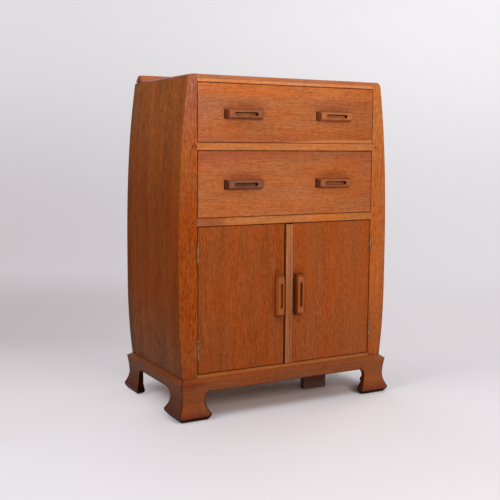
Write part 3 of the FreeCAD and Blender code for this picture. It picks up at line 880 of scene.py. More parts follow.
class Bench:
    """What every builder shares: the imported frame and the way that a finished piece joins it."""

    def __init__(self) -> None:
        """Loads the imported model."""
        self.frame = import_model()
        self.finishes = Finishes()
        self.brass = self.finishes.brass.material("brass_finish")
        self.steel = self.finishes.steel.material("steel_finish")

    @staticmethod
    def box(node: str) -> tuple[np.ndarray, np.ndarray]:
        """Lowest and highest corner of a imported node."""
        low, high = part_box(node)
        return np.array(low), np.array(high)

    def place(self, surface: Surface, name: str, body: str, slot: str, finish: bpy.types.Material,
              replaced: Sequence[str], arris: float = 0.0) -> bpy.types.Object:
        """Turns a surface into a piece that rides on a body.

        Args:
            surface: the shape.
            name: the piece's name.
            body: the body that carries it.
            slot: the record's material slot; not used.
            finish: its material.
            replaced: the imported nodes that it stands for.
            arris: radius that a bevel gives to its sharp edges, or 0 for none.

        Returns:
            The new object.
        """
        piece = bpy.data.objects.new(name, surface.mesh(name))
        bpy.context.scene.collection.objects.link(piece)
        piece.data.materials.append(finish)
        if arris:
            bevel = piece.modifiers.new("arris", "BEVEL")
            bevel.width = arris
            bevel.segments = 2
            bevel.limit_method = "ANGLE"
            bevel.angle_limit = math.radians(34)
            bevel.harden_normals = True
        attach(piece, body)
        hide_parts(*replaced)
        LOG.info("%s rides on %s, %d faces", name, body, len(piece.data.polygons))
        return piece

    def dress(self, node: str, finish: bpy.types.Material) -> None:
        """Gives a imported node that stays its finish.

        Args:
            node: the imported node.
            finish: its material.
        """
        piece = self.frame["nodes"][node]
        if not piece.material_slots:
            piece.data.materials.append(finish)
        for slot in piece.material_slots:
            slot.material = finish
        LOG.info("%s keeps its packed shape", node)

    @staticmethod
    def soil(piece: bpy.types.Object, values: np.ndarray) -> None:
        """Stores a value from 0 to 1 for each vertex: dirt on the base, painted light and shade on slot
        walls.
        """
        piece.data.attributes.new(SOIL_AND_PAINTED_LIGHT, "FLOAT", "POINT").data.foreach_set("value", values.astype(np.float32))

    @staticmethod
    def points(piece: bpy.types.Object) -> np.ndarray:
        """A piece's vertices as an array of shape (points, 3).

        Args:
            piece: the object.

        Returns:
            The array.
        """
        flat = np.empty(3 * len(piece.data.vertices), np.float32)
        piece.data.vertices.foreach_get("co", flat)
        return flat.reshape(-1, 3).astype(float)

    def board(self, node: str, body: str, slot: str, finish: bpy.types.Material,
              ease: float = 0.8 * MM) -> None:
        """Replaces a plain packed board with one whose edges are eased."""
        low, high = self.box(node)
        self.place(eased_board(low, high, ease), node + "_eased", body, slot, finish, [node])


@dataclass(frozen=True)
class SlottedHead:
    """The head of a screw: a disc or a dome with a slot across it."""

    radius: float
    dome: float
    depth: float
    slot_width: float = 0.8 * MM
    slot_depth: float = 0.7 * MM

    def surface(self, centre: Place, facing: Place, slant: float) -> Surface:
        """The head, on rows t across the slot and columns s along it: y = s * sqrt(radius^2 - t^2).

        Args:
            centre: middle of the face that the head stands on.
            facing: the way that the head looks.
            slant: how far its slot is turned.

        Returns:
            The closed surface.
        """
        half = self.slot_width / 2
        side = np.concatenate([[half], self.radius * np.sin(np.linspace(0.35, math.pi / 2, 6))])
        t = np.concatenate([-side[::-1], [-half, half], side])
        inside = np.zeros(len(t))
        inside[len(side):len(side) + 2] = 1
        s = np.linspace(-1, 1, 11)
        x = np.repeat(t[:, None], len(s), axis=1)
        y = s[None, :] * np.sqrt(np.maximum(self.radius ** 2 - t ** 2, 0))[:, None]
        share = (x ** 2 + y ** 2) / self.radius ** 2
        z = self.dome * (1 - share) - inside[:, None] * self.slot_depth
        top = np.stack([x, y, z], axis=-1)
        below = np.stack([x, y, np.full(x.shape, -self.depth)], axis=-1)
        surface = Surface()
        surface.grid(top)
        surface.grid(below)
        for column in (0, -1):
            surface.grid(np.stack([top[:, column], below[:, column]]))
        look = Vector(facing).to_track_quat("Z", "Y").to_matrix().to_4x4()
        return surface.turned(Matrix.Translation(centre) @ look @ Matrix.Rotation(slant, 4, "Z"))


ROUND_HEAD = SlottedHead(radius=4 * MM, dome=1.6 * MM, depth=0.4 * MM)
SUNK_HEAD = SlottedHead(radius=2.9 * MM, dome=0.06 * MM, depth=0.8 * MM, slot_width=0.6 * MM,
                        slot_depth=0.5 * MM)


@dataclass(frozen=True)
class WearAndPaintedLight:
    """How one handle looks: its oak, and the tints of its parts, some of which paint light and shade.

    They tint the floor of the slot, lighter on some handles and darker on others: painted light and shade.
    They darken the slot's walls on the drawers, a painted shade, and make them oranger on the doors. The
    lower edge is paler where rubbed, and darker under the drawers' left handles, a painted shadow. The side
    on the left is lighter on the left door's handle, and on the right door's darker by the meeting strip,
    a painted shade. The ends have the dark of end grain.
    """

    oak: Oak
    slot: Colour = (1.0, 1.0, 1.0)
    soil: Colour = (0.30, 0.20, 0.17)
    edge: Colour = (1.0, 1.0, 1.0)
    left: Colour = (1.0, 1.0, 1.0)
    end: Colour = (0.36, 0.28, 0.36)


@dataclass(frozen=True)
class Handle:
    """A block handle with slanted ends and sides and a finger slot, carved from one piece."""

    length: float = 134 * MM
    width: float = 28 * MM
    depth: float = 20 * MM
    end_slant: float = 7.5 * MM
    side_slant: float = 3.5 * MM
    end_radius: float = 1.2 * MM
    side_radius: float = 4 * MM
    slot_length: float = 80 * MM
    slot_width: float = 10.5 * MM
    slot_depth: float = 12 * MM
    slot_arris: float = 0.7 * MM
    floor_radius: float = 2.2 * MM
    screw_spacing: float = 100 * MM
    screw_proud: float = 0.5 * MM

    def half(self, out: np.ndarray, back: float, slant: float, radius: float) -> np.ndarray:
        """Half the block's size at the distance out from the board: a slanted line, then an arc.

        The arc's centre lies radius under the face, and radius / tan(half the angle between the side
        and the face) in from the edge where they would meet.

        Args:
            out: distances out from the board.
            back: half the size at the back.
            slant: how far the side draws in over the block's depth.
            radius: radius of the arc at the face.

        Returns:
            Half the size at each distance.
        """
        lean = math.atan2(slant, self.depth)
        centre = back - slant - radius / math.tan((math.pi / 2 + lean) / 2)
        above = out - (self.depth - radius)
        curve = centre + np.sqrt(np.maximum(radius ** 2 - above ** 2, 0))
        return np.where(above > radius * math.sin(lean), curve, back - slant * out / self.depth)

    def rings(self) -> list[tuple[float, float, float, float]]:
        """Half length, half width, corner radius and depth of each ring, from the back to the slot's floor.

        A ring a little inside the face, and one on the floor, keep the shading of the curves off them.

        Returns:
            One row for each ring.
        """
        levels = [np.array([0.0, FLAT])]
        for slant, radius in ((self.end_slant, self.end_radius), (self.side_slant, self.side_radius)):
            turns = np.linspace(math.atan2(slant, self.depth), math.pi / 2, 6)
            levels.append(self.depth - radius * (1 - np.sin(turns)))
        levels.append(levels[-1][:1] - FLAT)
        out = np.unique(np.concatenate(levels).round(7))
        length = self.half(out, self.length / 2, self.end_slant, self.end_radius)
        width = self.half(out, self.width / 2, self.side_slant, self.side_radius)
        rings = [(x, z, self.end_radius, level) for x, z, level in zip(length, width, out)]
        inset = 0.25 * MM
        rings.append((length[-1] - inset, width[-1] - inset, self.end_radius, self.depth))
        run, rise = self.slot_length / 2, self.slot_width / 2
        bottom = self.depth - self.slot_depth
        bends = [(1 - math.cos(turn), 1 - math.sin(turn)) for turn in np.linspace(math.pi / 2, 0, 4)]
        lip = [(self.slot_arris * side, self.depth - self.slot_arris * drop) for side, drop in bends]
        floor = [(-self.floor_radius * side, bottom + self.floor_radius * drop) for side, drop in bends[::-1]]
        slot = [(lip[0][0] + inset, self.depth), *lip, (0.0, lip[-1][1] - FLAT),
                (0.0, floor[0][1] + FLAT), *floor, (floor[-1][0] - inset, bottom)]
        for set_off, level in slot:
            rings.append((run + set_off, rise + set_off, rise + set_off, level))
        return rings

    def surface(self, centre: Place, grain: Grain) -> Surface:
        """The block as a stack of rounded rectangles, with its back on the board.

        Args:
            centre: middle of its back.
            grain: the axis of its length, X or Z.

        Returns:
            The closed surface.
        """
        stack = []
        for half_length, half_width, radius, out in self.rings():
            flat = ring_of(half_length, half_width, radius)
            stack.append(np.stack([flat[:, 0], np.full(len(flat), -out), flat[:, 1]], axis=1))
        turn = Matrix.Rotation(math.pi / 2, 4, "Y") if grain is Grain.Z else Matrix.Identity(4)
        return Surface().stack(stack).turned(Matrix.Translation(centre) @ turn)

    def finish(self, wear_and_painted_light: WearAndPaintedLight, name: str, centre: Place, grain: Grain, shift: float) -> bpy.types.Material:
        """The block's finish: dark on its ends, painted shade where it meets the board, and the tints of its
        parts.

        Args:
            wear_and_painted_light: its oak, and tints of its parts that paint light and shade.
            name: the material's name.
            centre: middle of its back.
            grain: the axis of its length, X or Z.
            shift: moves the grain.

        Returns:
            The material.
        """
        along, across = grain.value[:2]
        face = centre[Y]
        # Painted shade where the block meets the board.
        foot = Fade(Y, face - 6 * MM, face - 1.5 * MM, (0.3, 0.22, 0.2))

        def patch(step: float, aside: float, out: float, reach: Place, tint: Colour) -> Mark:
            """A mark placed along, across and out from the block's middle, with its reach in that order.

            Args:
                step: distance along the block.
                aside: distance across it.
                out: distance out from the board.
                reach: how far the mark reaches along, across and out.
                tint: its tint.

            Returns:
                The mark.
            """
            place, size = list(centre), [reach[2]] * 3
            place[along] += step
            place[across] += aside
            place[Y] = face - out
            size[along], size[across] = reach[:2]
            return Mark(tuple(place), tuple(size), tint, 0.95, core=0.7, ragged=0.2)

        ends = [patch(sign * self.length / 2, 0, 10 * MM, (10 * MM, 1, 1), wear_and_painted_light.end) for sign in (-1, 1)]
        # Painted light and shade: the slot's floor lighter on some handles and darker on others, its walls
        # darker on the drawers, a painted shadow on the lower edge of the drawers' left handles, the left
        # side darker by the meeting strip. The ends are dark end grain.
        marks = [foot, *ends,
                 patch(0, 0, 12.5 * MM, (self.slot_length / 2, 7 * MM, 7.4 * MM), wear_and_painted_light.slot),
                 patch(0, 1 * MM - self.width / 2, 18 * MM, (75 * MM, 4 * MM, 6 * MM), wear_and_painted_light.edge),
                 patch(0, -self.width / 2, 8 * MM, (90 * MM, 7 * MM, 14 * MM), wear_and_painted_light.left),
                 SoilAndPaintedLight(wear_and_painted_light.soil)]
        return wear_and_painted_light.oak.material(name, grain, shift, marks)

    def soil(self, points: np.ndarray, centre: Place, grain: Grain) -> np.ndarray:
        """1 on the walls of the slot, which painted light and shade tint, and 0 elsewhere.

        A point is on them where its distance from the slot's middle line, hypot(past its end, across it),
        is under half the slot's width with its arris, and its height is over the floor.

        Args:
            points: array of shape (points, 3).
            centre: middle of its back.
            grain: the axis of its length, X or Z.

        Returns:
            One value for each point.
        """
        along, across = grain.value[:2]
        step = np.abs(points - np.array(centre))
        past = np.maximum(step[:, along] - (self.slot_length - self.slot_width) / 2, 0)
        inside = np.hypot(past, step[:, across]) < self.slot_width / 2 + self.slot_arris + 0.1 * MM
        return (inside & (step[:, 1] > self.depth - self.slot_depth + 1 * MM)).astype(float)

    def screws(self, centre: Place, inside: float, grain: Grain) -> Surface:
        """The heads of its two screws, on the inner face of the board at the depth inside.

        Args:
            centre: middle of its back.
            inside: Y of the board's inner face.
            grain: the axis of its length, X or Z.

        Returns:
            The closed surfaces of both.
        """
        axis, slant = (2, 7) if grain is Grain.Z else (0, 9)
        heads = Surface()
        for sign in (-1, 1):
            spot = [centre[0], inside + self.screw_proud, centre[2]]
            spot[axis] += sign * self.screw_spacing / 2
            heads.joined(ROUND_HEAD.surface(tuple(spot), (0, 1, 0), slant * spot[axis]))
        return heads

    def fit(self, bench: Bench, wear_and_painted_light: WearAndPaintedLight, body: str, node: str, centre: Place, grain: Grain,
            shift: float) -> None:
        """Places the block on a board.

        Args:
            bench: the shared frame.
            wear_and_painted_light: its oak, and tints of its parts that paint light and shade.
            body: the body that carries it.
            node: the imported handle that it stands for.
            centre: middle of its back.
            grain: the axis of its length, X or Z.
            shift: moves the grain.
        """
        finish = self.finish(wear_and_painted_light, node + "_finish", centre, grain, shift)
        block = self.surface(centre, grain)
        piece = bench.place(block, node + "_carved", body, "handle_oak", finish, [node])
        bench.soil(piece, self.soil(bench.points(piece), centre, grain))


@dataclass
class Carcase:
    """Sides, stiles, top, gallery, rails and the timbers inside."""

    bow: Bow = Bow()
    side_thickness: float = 18 * MM
    arris: float = 1.4 * MM
    joint_arris: float = 0.35 * MM
    back_arris: float = 0.8 * MM
    rail_ease: float = 0.9 * MM
    outward_from: float = 0.6
    top_front: float = 4 * MM
    gallery_foot: float = 345.1 * MM
    gallery_rake: float = 9 * MM
    gallery_radius: float = 7 * MM
    peg_radius: float = 3 * MM
    peg_edge: float = 15 * MM
    peg_proud: float = 0.25 * MM
    peg_depth: float = 1 * MM
    plug_radius: float = 3.5 * MM
    plug_depth: float = 2 * MM
    plug_x: float = 136 * MM
    plug_z: float = 113.5 * MM
    moulding: Moulding = Moulding()

    def build(self, bench: Bench) -> None:
        """Builds and dresses the whole carcase.

        Args:
            bench: the shared frame.
        """
        for side in Side:
            # Each side is darker at its foot and along its top edge, and darker and bluer towards the back.
            marks = [Fade(Z, 0.133, 0.127, (0.6, 0.5, 0.55)), Fade(Z, 1.030, 1.040, (0.65, 0.48, 0.34)),
                     Fade(Y, 0.10, 0.225, (0.76, 0.88, 1.1))]
            # Painted sheen: each side grows lighter and bluer towards the top. Low down the left one turns
            # greyer and the right one darker.
            if side is Side.LEFT:
                oak = bench.finishes.left_side
                marks += [Fade(Z, 0.62, 1.0, (1.25, 1.80, 4.8)), Fade(Z, 0.40, 0.16, (0.84, 1.32, 6.0)),
                          Fade(Z, 0.22, 0.14, (1.0, 1.08, 1.3))]
            else:
                oak = bench.finishes.right_side
                marks += [Fade(Z, 0.62, 1.0, (1.12, 1.2, 1.3)), Fade(Z, 0.40, 0.16, (0.9, 0.95, 1.1))]
            outside = oak.material("side_finish_" + side.name.lower(), Grain.Z, 7.7 + side.value, marks)
            self.build_stile(bench, side, outside)
            self.build_side(bench, side, outside)
        self.build_top(bench)
        self.build_gallery(bench)
        self.build_rails(bench)
        self.build_pegs(bench)
        self.dress_timbers(bench)

    def build_stile(self, bench: Bench, side: Side, outside: bpy.types.Material) -> None:
        """A front stile: a bowed board whose outline has the rounded top corner.

        Args:
            bench: the shared frame.
            side: the side that it stands on.
            outside: finish of its outer edge, which the side panel meets without a seam.
        """
        node = "front_stile_" + side.name.lower()
        low, high = bench.box(node)
        outer = self.bow.shoulder()
        inner = np.array([[self.bow.half_opening, self.bow.head_z], [self.bow.half_opening, self.bow.foot_z]])
        outline = np.concatenate([outer, inner])
        ease = np.full(len(outline), self.arris)
        near_top = outline[:, 1] > self.bow.head_z - self.bow.corner
        ease[near_top] = self.top_front
        ease[-2:] = self.joint_arris
        ease[0] = self.joint_arris
        surface = eased_slab(outline, low[1], high[1], (ease, 0.0), (0, 2, 1))
        surface.turned(Matrix.Diagonal((side.value, 1, 1, 1)))
        foot = Fade(Z, 0.139, 0.127, (0.75, 0.68, 0.8))
        # Painted sheen: each stile grows lighter and bluer towards the top. Low down the left one turns bluer
        # and the right one darker, and both are darker at the foot.
        if side is Side.LEFT:
            oak = bench.finishes.left_stile
            marks = [foot, Fade(Z, 0.55, 0.82, (1.26, 1.52, 2.5)), Fade(Z, 0.80, 1.03, (0.98, 1.38, 3.8)),
                     Fade(Z, 0.40, 0.16, (0.93, 1.1, 1.8))]
        else:
            oak = bench.finishes.right_stile
            marks = [foot, Fade(Z, 0.6, 1.0, (1.18, 1.43, 1.72)), Fade(Z, 0.45, 0.16, (0.80, 0.77, 0.78))]
        finish = oak.material(node + "_finish", Grain.Z, 3.1 + side.value, marks)
        piece = bench.place(surface, node + "_bowed", "carcase", "stile_oak", finish, [node])
        piece.data.materials.append(outside)
        normals = np.empty(3 * len(piece.data.polygons), np.float32)
        piece.data.polygons.foreach_get("normal", normals)
        outward = normals.reshape(-1, 3)[:, 0] * side.value > self.outward_from
        piece.data.polygons.foreach_set("material_index", outward.astype(np.int32))

    def build_side(self, bench: Bench, side: Side, finish: bpy.types.Material) -> None:
        """A side panel: a bowed sheet of even thickness with the rounded top corner.

        Args:
            bench: the shared frame.
            side: the side that it stands on.
            finish: its material.
        """
        node = "side_panel_" + side.name.lower()
        low, high = bench.box(node)
        outer = self.bow.shoulder()
        inner = self.bow.line(self.bow.foot_z, self.bow.head_z, self.side_thickness)[::-1]
        outline = np.concatenate([outer, inner])
        surface = eased_slab(outline, low[1], high[1], (0.0, self.back_arris), (0, 2, 1))
        surface.turned(Matrix.Diagonal((side.value, 1, 1, 1)))
        bench.place(surface, node + "_bowed", "carcase", "side_oak", finish, [node])

    def build_top(self, bench: Bench) -> None:
        """The top: a profile in Y and Z carried across X, narrower where it runs between the stiles.

        Its columns are clipped to the reach of each point, so the wider part steps out behind the stiles.

        Args:
            bench: the shared frame.
        """
        low, high = bench.box("top_board")
        step = bench.box("front_stile_right")[1][1]
        round_over = arc((low[1] + self.top_front, high[2] - self.top_front), self.top_front,
                         math.pi, math.pi / 2, 6)
        profile = np.array([[low[1], low[2]], *round_over, [step, high[2]], [step, high[2]],
                            [high[1], high[2]], [high[1], low[2]], [step, low[2]], [step, low[2]]])
        count = len(round_over) + 1
        narrow = np.array([True] * (count + 1) + [False] * 4 + [True])
        half = self.bow.half_opening
        reach = np.where(narrow, half, self.bow.half_width(profile[:, 1]) - self.side_thickness)
        spread = np.concatenate([[-1.0], np.linspace(-half, half, 9), [1.0]])
        points = np.empty((len(spread), len(profile), 3))
        points[..., 0] = np.clip(spread[:, None], -reach, reach)
        points[..., 1:] = profile[None]
        surface = Surface()
        surface.grid(points, closed=True)
        for end in (points[0], points[-1]):
            for corners in (narrow, ~narrow, [count, count + 1, -2, -1]):
                surface.cap(end[corners])
        finish = bench.finishes.top.material("top_board_finish", Grain.X, 1.3)
        bench.place(surface, "top_board_rounded", "carcase", "top_oak", finish, ["top_board"])

    def build_gallery(self, bench: Bench) -> None:
        """The gallery: a board between the sides that rises above the top with raked, rounded ends.

        Args:
            bench: the shared frame.
        """
        low, high = bench.box("gallery_rail")
        foot, radius = self.gallery_foot, self.gallery_radius
        rake = self.gallery_rake / (high[2] - self.bow.head_z)
        shoulder_z = high[2] - radius
        shoulder_x = foot - rake * (shoulder_z - self.bow.head_z)
        tucked = self.bow.line(low[2], self.bow.head_z, self.side_thickness, 6)
        bend = arc((shoulder_x - radius, shoulder_z), radius, 0, math.pi / 2, 6)
        right = np.concatenate([tucked, [[foot, self.bow.head_z]], bend])
        left = right[::-1] * np.array([-1, 1])
        ease = np.where(np.arange(2 * len(right)) < len(tucked), self.joint_arris, self.arris)
        ease[-len(tucked):] = self.joint_arris
        surface = eased_slab(np.concatenate([right, left]), low[1], high[1], (ease, ease), (0, 2, 1))
        marks = [Fade(X, side.value * 0.328, side.value * 0.341, (0.42, 0.30, 0.30)) for side in Side]
        finish = bench.finishes.gallery.material("gallery_finish", Grain.X, 5.9, marks)
        bench.place(surface, "gallery_rail_eased", "carcase", "top_oak", finish, ["gallery_rail"])

    def build_rails(self, bench: Bench) -> None:
        """The four rails between the stiles, with painted shade of the gaps along their long edges only.

        Args:
            bench: the shared frame.
        """
        oaks = bench.finishes
        kinds = (("top_rail", oaks.top_rail, "rail_oak", 2.2),
                 ("drawer_rail", oaks.drawer_rail, "light_oak", 4.4),
                 ("door_head_rail", oaks.head_rail, "light_oak", 6.1),
                 ("bottom_rail", oaks.bottom_rail, "light_oak", 8.3))
        for node, oak, slot, shift in kinds:
            low, high = bench.box(node)
            ends = np.array([1.0, 0, 0])
            # The rim darkens the rail's long edges: painted shade of the gaps beside them.
            marks: list[Patch] = [Rim(low - ends, high + ends, 2.5 * MM, (0.62, 0.45, 0.36), 0.6)]
            if node == "door_head_rail":
                marks += [Fade(X, 0.1, 0.3, (0.93, 0.9, 0.8)),
                          Mark(tuple(low), (0.11, 1, 1), (0.68, 0.56, 0.68), 0.9, core=0.6, ragged=0.2)]
            finish = oak.material(node + "_finish", Grain.X, shift, marks)
            bench.board(node, "carcase", slot, finish, self.rail_ease)

    def build_pegs(self, bench: Bench) -> None:
        """Domed peg ends in the stiles at each rail, and the plug in the front base board.

        Args:
            bench: the shared frame.
        """
        surface = Surface()
        face = bench.box("front_stile_right")[0][1]
        head = SlottedHead(self.peg_radius, self.peg_proud, self.peg_depth, slot_depth=0.0)
        for node in ("bottom_rail", "door_head_rail", "drawer_rail"):
            low, high = bench.box(node)
            for side in Side:
                centre = (side.value * (self.bow.half_opening + self.peg_edge), face, (low[2] + high[2]) / 2)
                surface.joined(head.surface(centre, (0, -1, 0), 0))
        out = float(self.moulding.projection(np.array(self.plug_z)))
        plug = SlottedHead(self.plug_radius, self.peg_proud, self.plug_depth, slot_depth=0.0)
        surface.joined(plug.surface((self.plug_x, face - out, self.plug_z), (0, -1, 0.1), 0))
        finish = bench.finishes.peg.material("peg_finish", Grain.Y, 0.4)
        bench.place(surface, "joint_peg_ends", "carcase", "dark_peg", finish, ["joint_pegs"])

    def dress_timbers(self, bench: Bench) -> None:
        """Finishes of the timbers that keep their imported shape.

        Args:
            bench: the shared frame.
        """
        kinds = {Grain.X: ("rear_bottom_rail", "drawer_stops", "cupboard_shelf", "door_stops"),
                 Grain.Y: ("drawer_runners", "drawer_guides", "drawer_kickers", "shelf_bearers"),
                 Grain.Z: ("rear_stile_left", "rear_stile_right")}
        for grain, nodes in kinds.items():
            lining = bench.finishes.lining.material("lining_" + grain.name, grain, 2.7)
            for node in nodes:
                bench.dress(node, lining)
        sheet = bench.finishes.plywood.material("plywood_finish", Grain.Z, 1.9)
        for node in ("back_panel", "bottom_board", "dust_board"):
            bench.dress(node, sheet)


@dataclass(frozen=True)
class Foot:
    """How far one foot reaches along its board from the corner, at each of its heights."""

    apron: float
    waist: float
    toe: float
    lip: float
    sole: float
    apron_z: float = 86 * MM
    waist_z: float = 62 * MM
    power: float = 1.9
    moulding: Moulding = Moulding()

    def edge(self) -> np.ndarray:
        """Reach and height from the sole up: straight to the toe, a power curve, then a quarter ellipse.

        Returns:
            Array of shape (points, 2).
        """
        share = np.linspace(1, 0, 9)[:, None]
        flare = np.concatenate([self.waist + (self.toe - self.waist) * share ** self.power,
                                self.waist_z - (self.waist_z - self.moulding.toe_z) * share], axis=1)
        turn = np.linspace(0, math.pi / 2, 9)[1:, None]
        bend = np.concatenate([self.waist + (self.apron - self.waist) * (1 - np.cos(turn)),
                               self.waist_z + (self.apron_z - self.waist_z) * np.sin(turn)], axis=1)
        start = [[self.sole, 0.0], [self.lip, self.moulding.lip_z]]
        return np.concatenate([start, flare, bend])


@dataclass
class BaseBoard:
    """A mitred and moulded base board with a foot at each end."""

    half_run: float
    reach: float
    foot: Foot
    thickness: float = 4 * MM
    foot_soil: float = 8 * MM
    apron_soil: float = 4 * MM
    mitre_soil: float = 5 * MM
    moulding: Moulding = Moulding()

    def surface(self, angle: float) -> Surface:
        """The board: two feet as stacks of sections, and the apron above them.

        The columns of the face stand closer together towards both edges of a foot, by half a cosine wave.

        Args:
            angle: how far the finished board is turned about Z from facing the front.

        Returns:
            The closed surface.
        """
        surface = Surface()
        inside_x = self.half_run - self.thickness
        inside_y = -self.reach + self.thickness
        spread = (1 - np.cos(np.linspace(0, math.pi, 18))) / 2

        def section(z: np.ndarray, face: np.ndarray, back: Sequence[np.ndarray]) -> np.ndarray:
            """Loops of points at heights z: the face's columns, then the back's.

            Args:
                z: heights.
                face: X of the face's columns at each height.
                back: X of each column of the back at each height.

            Returns:
                Array of shape (heights, columns, 3).
            """
            out = -self.reach - self.moulding.projection(z)
            front = np.stack([face, np.broadcast_to(out[:, None], face.shape),
                              np.broadcast_to(z[:, None], face.shape)], axis=-1)
            behind = [np.stack([x, np.full(len(z), inside_y), z], axis=1) for x in back]
            return np.concatenate([front, np.stack(behind, axis=1)], axis=1)

        def columns(z: np.ndarray, inner: np.ndarray) -> np.ndarray:
            """The face's columns from the outer corner to the inner end, on the right."""
            outer = self.half_run + self.moulding.projection(z)
            return outer[:, None] + (inner - outer)[:, None] * spread

        reach, z = self.foot.edge().T
        inner = self.half_run - reach
        corner = np.full(len(z), inside_x)
        for side in Side:
            stack = section(z, side.value * columns(z, inner), [side.value * inner, side.value * corner])
            surface.grid(stack, closed=True)
            surface.cap(stack[0])
        rise = (self.moulding.edge_z - self.foot.apron_z) * np.linspace(0, 1, 9) ** 1.4
        z = np.append(self.foot.apron_z + rise, self.moulding.top_z)
        flat = np.full(len(z), self.half_run - self.foot.apron)
        right = columns(z, flat)
        middle = flat[:, None] * np.linspace(-1, 1, 21)[1:-1]
        corner = np.full(len(z), inside_x)
        face = np.concatenate([-right, middle, right[:, ::-1]], axis=1)
        stack = section(z, face, [corner, flat, -flat, -corner])
        surface.grid(stack, closed=True)
        surface.cap(stack[-1])
        count = len(spread)
        arch = np.arange(count - 1, count + middle.shape[1] + 1)
        surface.cap(stack[0][[*arch, -3, -2]])
        return surface.turned(Matrix.Rotation(angle, 4, "Z"))

    def soil(self, points: np.ndarray, angle: float) -> np.ndarray:
        """How soiled each point is: 1 on the lower edge of the board, fading to 0 over a few millimetres.

        The measure is the least distance, seen from the front, to the line of the feet and the apron,
        and it fades sooner from the apron's line than from the feet's. The mitre at the corner counts too.

        Args:
            points: array of shape (points, 3).
            angle: how far the board is turned about Z from facing the front.

        Returns:
            One value for each point.
        """
        turn = np.array(Matrix.Rotation(-angle, 3, "Z"))
        flat = (points @ turn.T)[:, [0, 2]]
        flat[:, 0] = np.abs(flat[:, 0])
        reach, z = self.foot.edge().T
        line = np.stack([np.append(self.half_run - reach, 0.0), np.append(z, self.foot.apron_z)], axis=1)
        start, run = line[:-1], np.diff(line, axis=0)
        along = np.sum((flat[:, None] - start) * run, axis=2) / np.sum(run ** 2, axis=1)
        gap = flat[:, None] - start - np.clip(along, 0, 1)[..., None] * run
        width = np.append(np.full(len(reach) - 1, self.foot_soil), self.apron_soil)
        below = np.min(np.linalg.norm(gap, axis=2) / width, axis=1)
        outer = self.half_run + self.moulding.projection(flat[:, 1])
        return np.clip(1 - np.minimum(below, (outer - flat[:, 0]) / self.mitre_soil), 0, 1)


@dataclass
class Base:
    """The moulded base: four boards with bracket feet, and the blocks behind them."""

    half_width: float = 367.4 * MM
    half_depth: float = 210 * MM
    front_foot: Foot = Foot(apron=86 * MM, waist=69 * MM, toe=86 * MM, lip=84 * MM, sole=75 * MM)
    side_foot: Foot = Foot(apron=108 * MM, waist=81 * MM, toe=102 * MM, lip=98 * MM, sole=76 * MM)
    back_foot: Foot = Foot(apron=34 * MM, waist=28 * MM, toe=32 * MM, lip=31 * MM, sole=28 * MM)
    arris: float = 0.9 * MM
    block_ease: float = 1.5 * MM

    def build(self, bench: Bench) -> None:
        """Builds and dresses the base.

        Args:
            bench: the shared frame.
        """
        boards = (("base_front", self.front_foot, 0, 1.1), ("base_back", self.back_foot, 2, 3.3),
                  ("base_right", self.side_foot, 1, 5.5), ("base_left", self.side_foot, -1, 7.2))
        for node, foot, quarters, shift in boards:
            angle = quarters * math.pi / 2
            if foot is self.side_foot:
                board, grain = BaseBoard(self.half_depth, self.half_width, foot), Grain.Y
            else:
                board, grain = BaseBoard(self.half_width, self.half_depth, foot), Grain.X
            toe = Mark((0, 0, 0), (10, 10, 44 * MM), (0.72, 0.58, 0.85), 0.85, core=0.5, ragged=0.25)
            sole = Mark((0, 0, 0), (10, 10, 14 * MM), (0.10, 0.10, 0.08), 0.97, core=0.7, ragged=0.15)
            marks: list[Patch] = [toe, SoilAndPaintedLight((0.22, 0.14, 0.14)), sole]
            oak = bench.finishes.base_side
            if node == "base_front":
                oak = bench.finishes.base
                # The lighter band from 115 to 118 mm is a painted highlight on the top bevel.
                marks += [Mark((-0.36, -0.22, 0.112), (0.09, 1, 0.014), (0.72, 0.5, 0.8), 0.8, core=0.4),
                          Fade(Z, 0.115, 0.118, (1.1, 1.0, 0.9)), Fade(X, 0.20, 0.36, (1.1, 1.15, 1.12)),
                          Fade(X, -0.25, -0.34, (1.0, 0.93, 0.82))]
            else:
                # The lighter band from 115 to 118 mm is a painted highlight on the top bevel.
                marks += [Fade(Z, 0.115, 0.118, (1.5, 1.25, 0.8)), Fade(Z, 0.090, 0.060, (0.78, 0.74, 0.72))]
            finish = oak.material(node + "_finish", grain, shift, marks)
            piece = bench.place(board.surface(angle), node + "_moulded", "carcase", "base_oak", finish,
                                [node], self.arris)
            bench.soil(piece, board.soil(bench.points(piece), angle))
        rough = bench.finishes.rough.material("block_finish", Grain.Z, 0.6)
        bench.board("base_support_block", "carcase", "softwood", rough, self.block_ease)
        bench.dress("base_corner_blocks", rough)


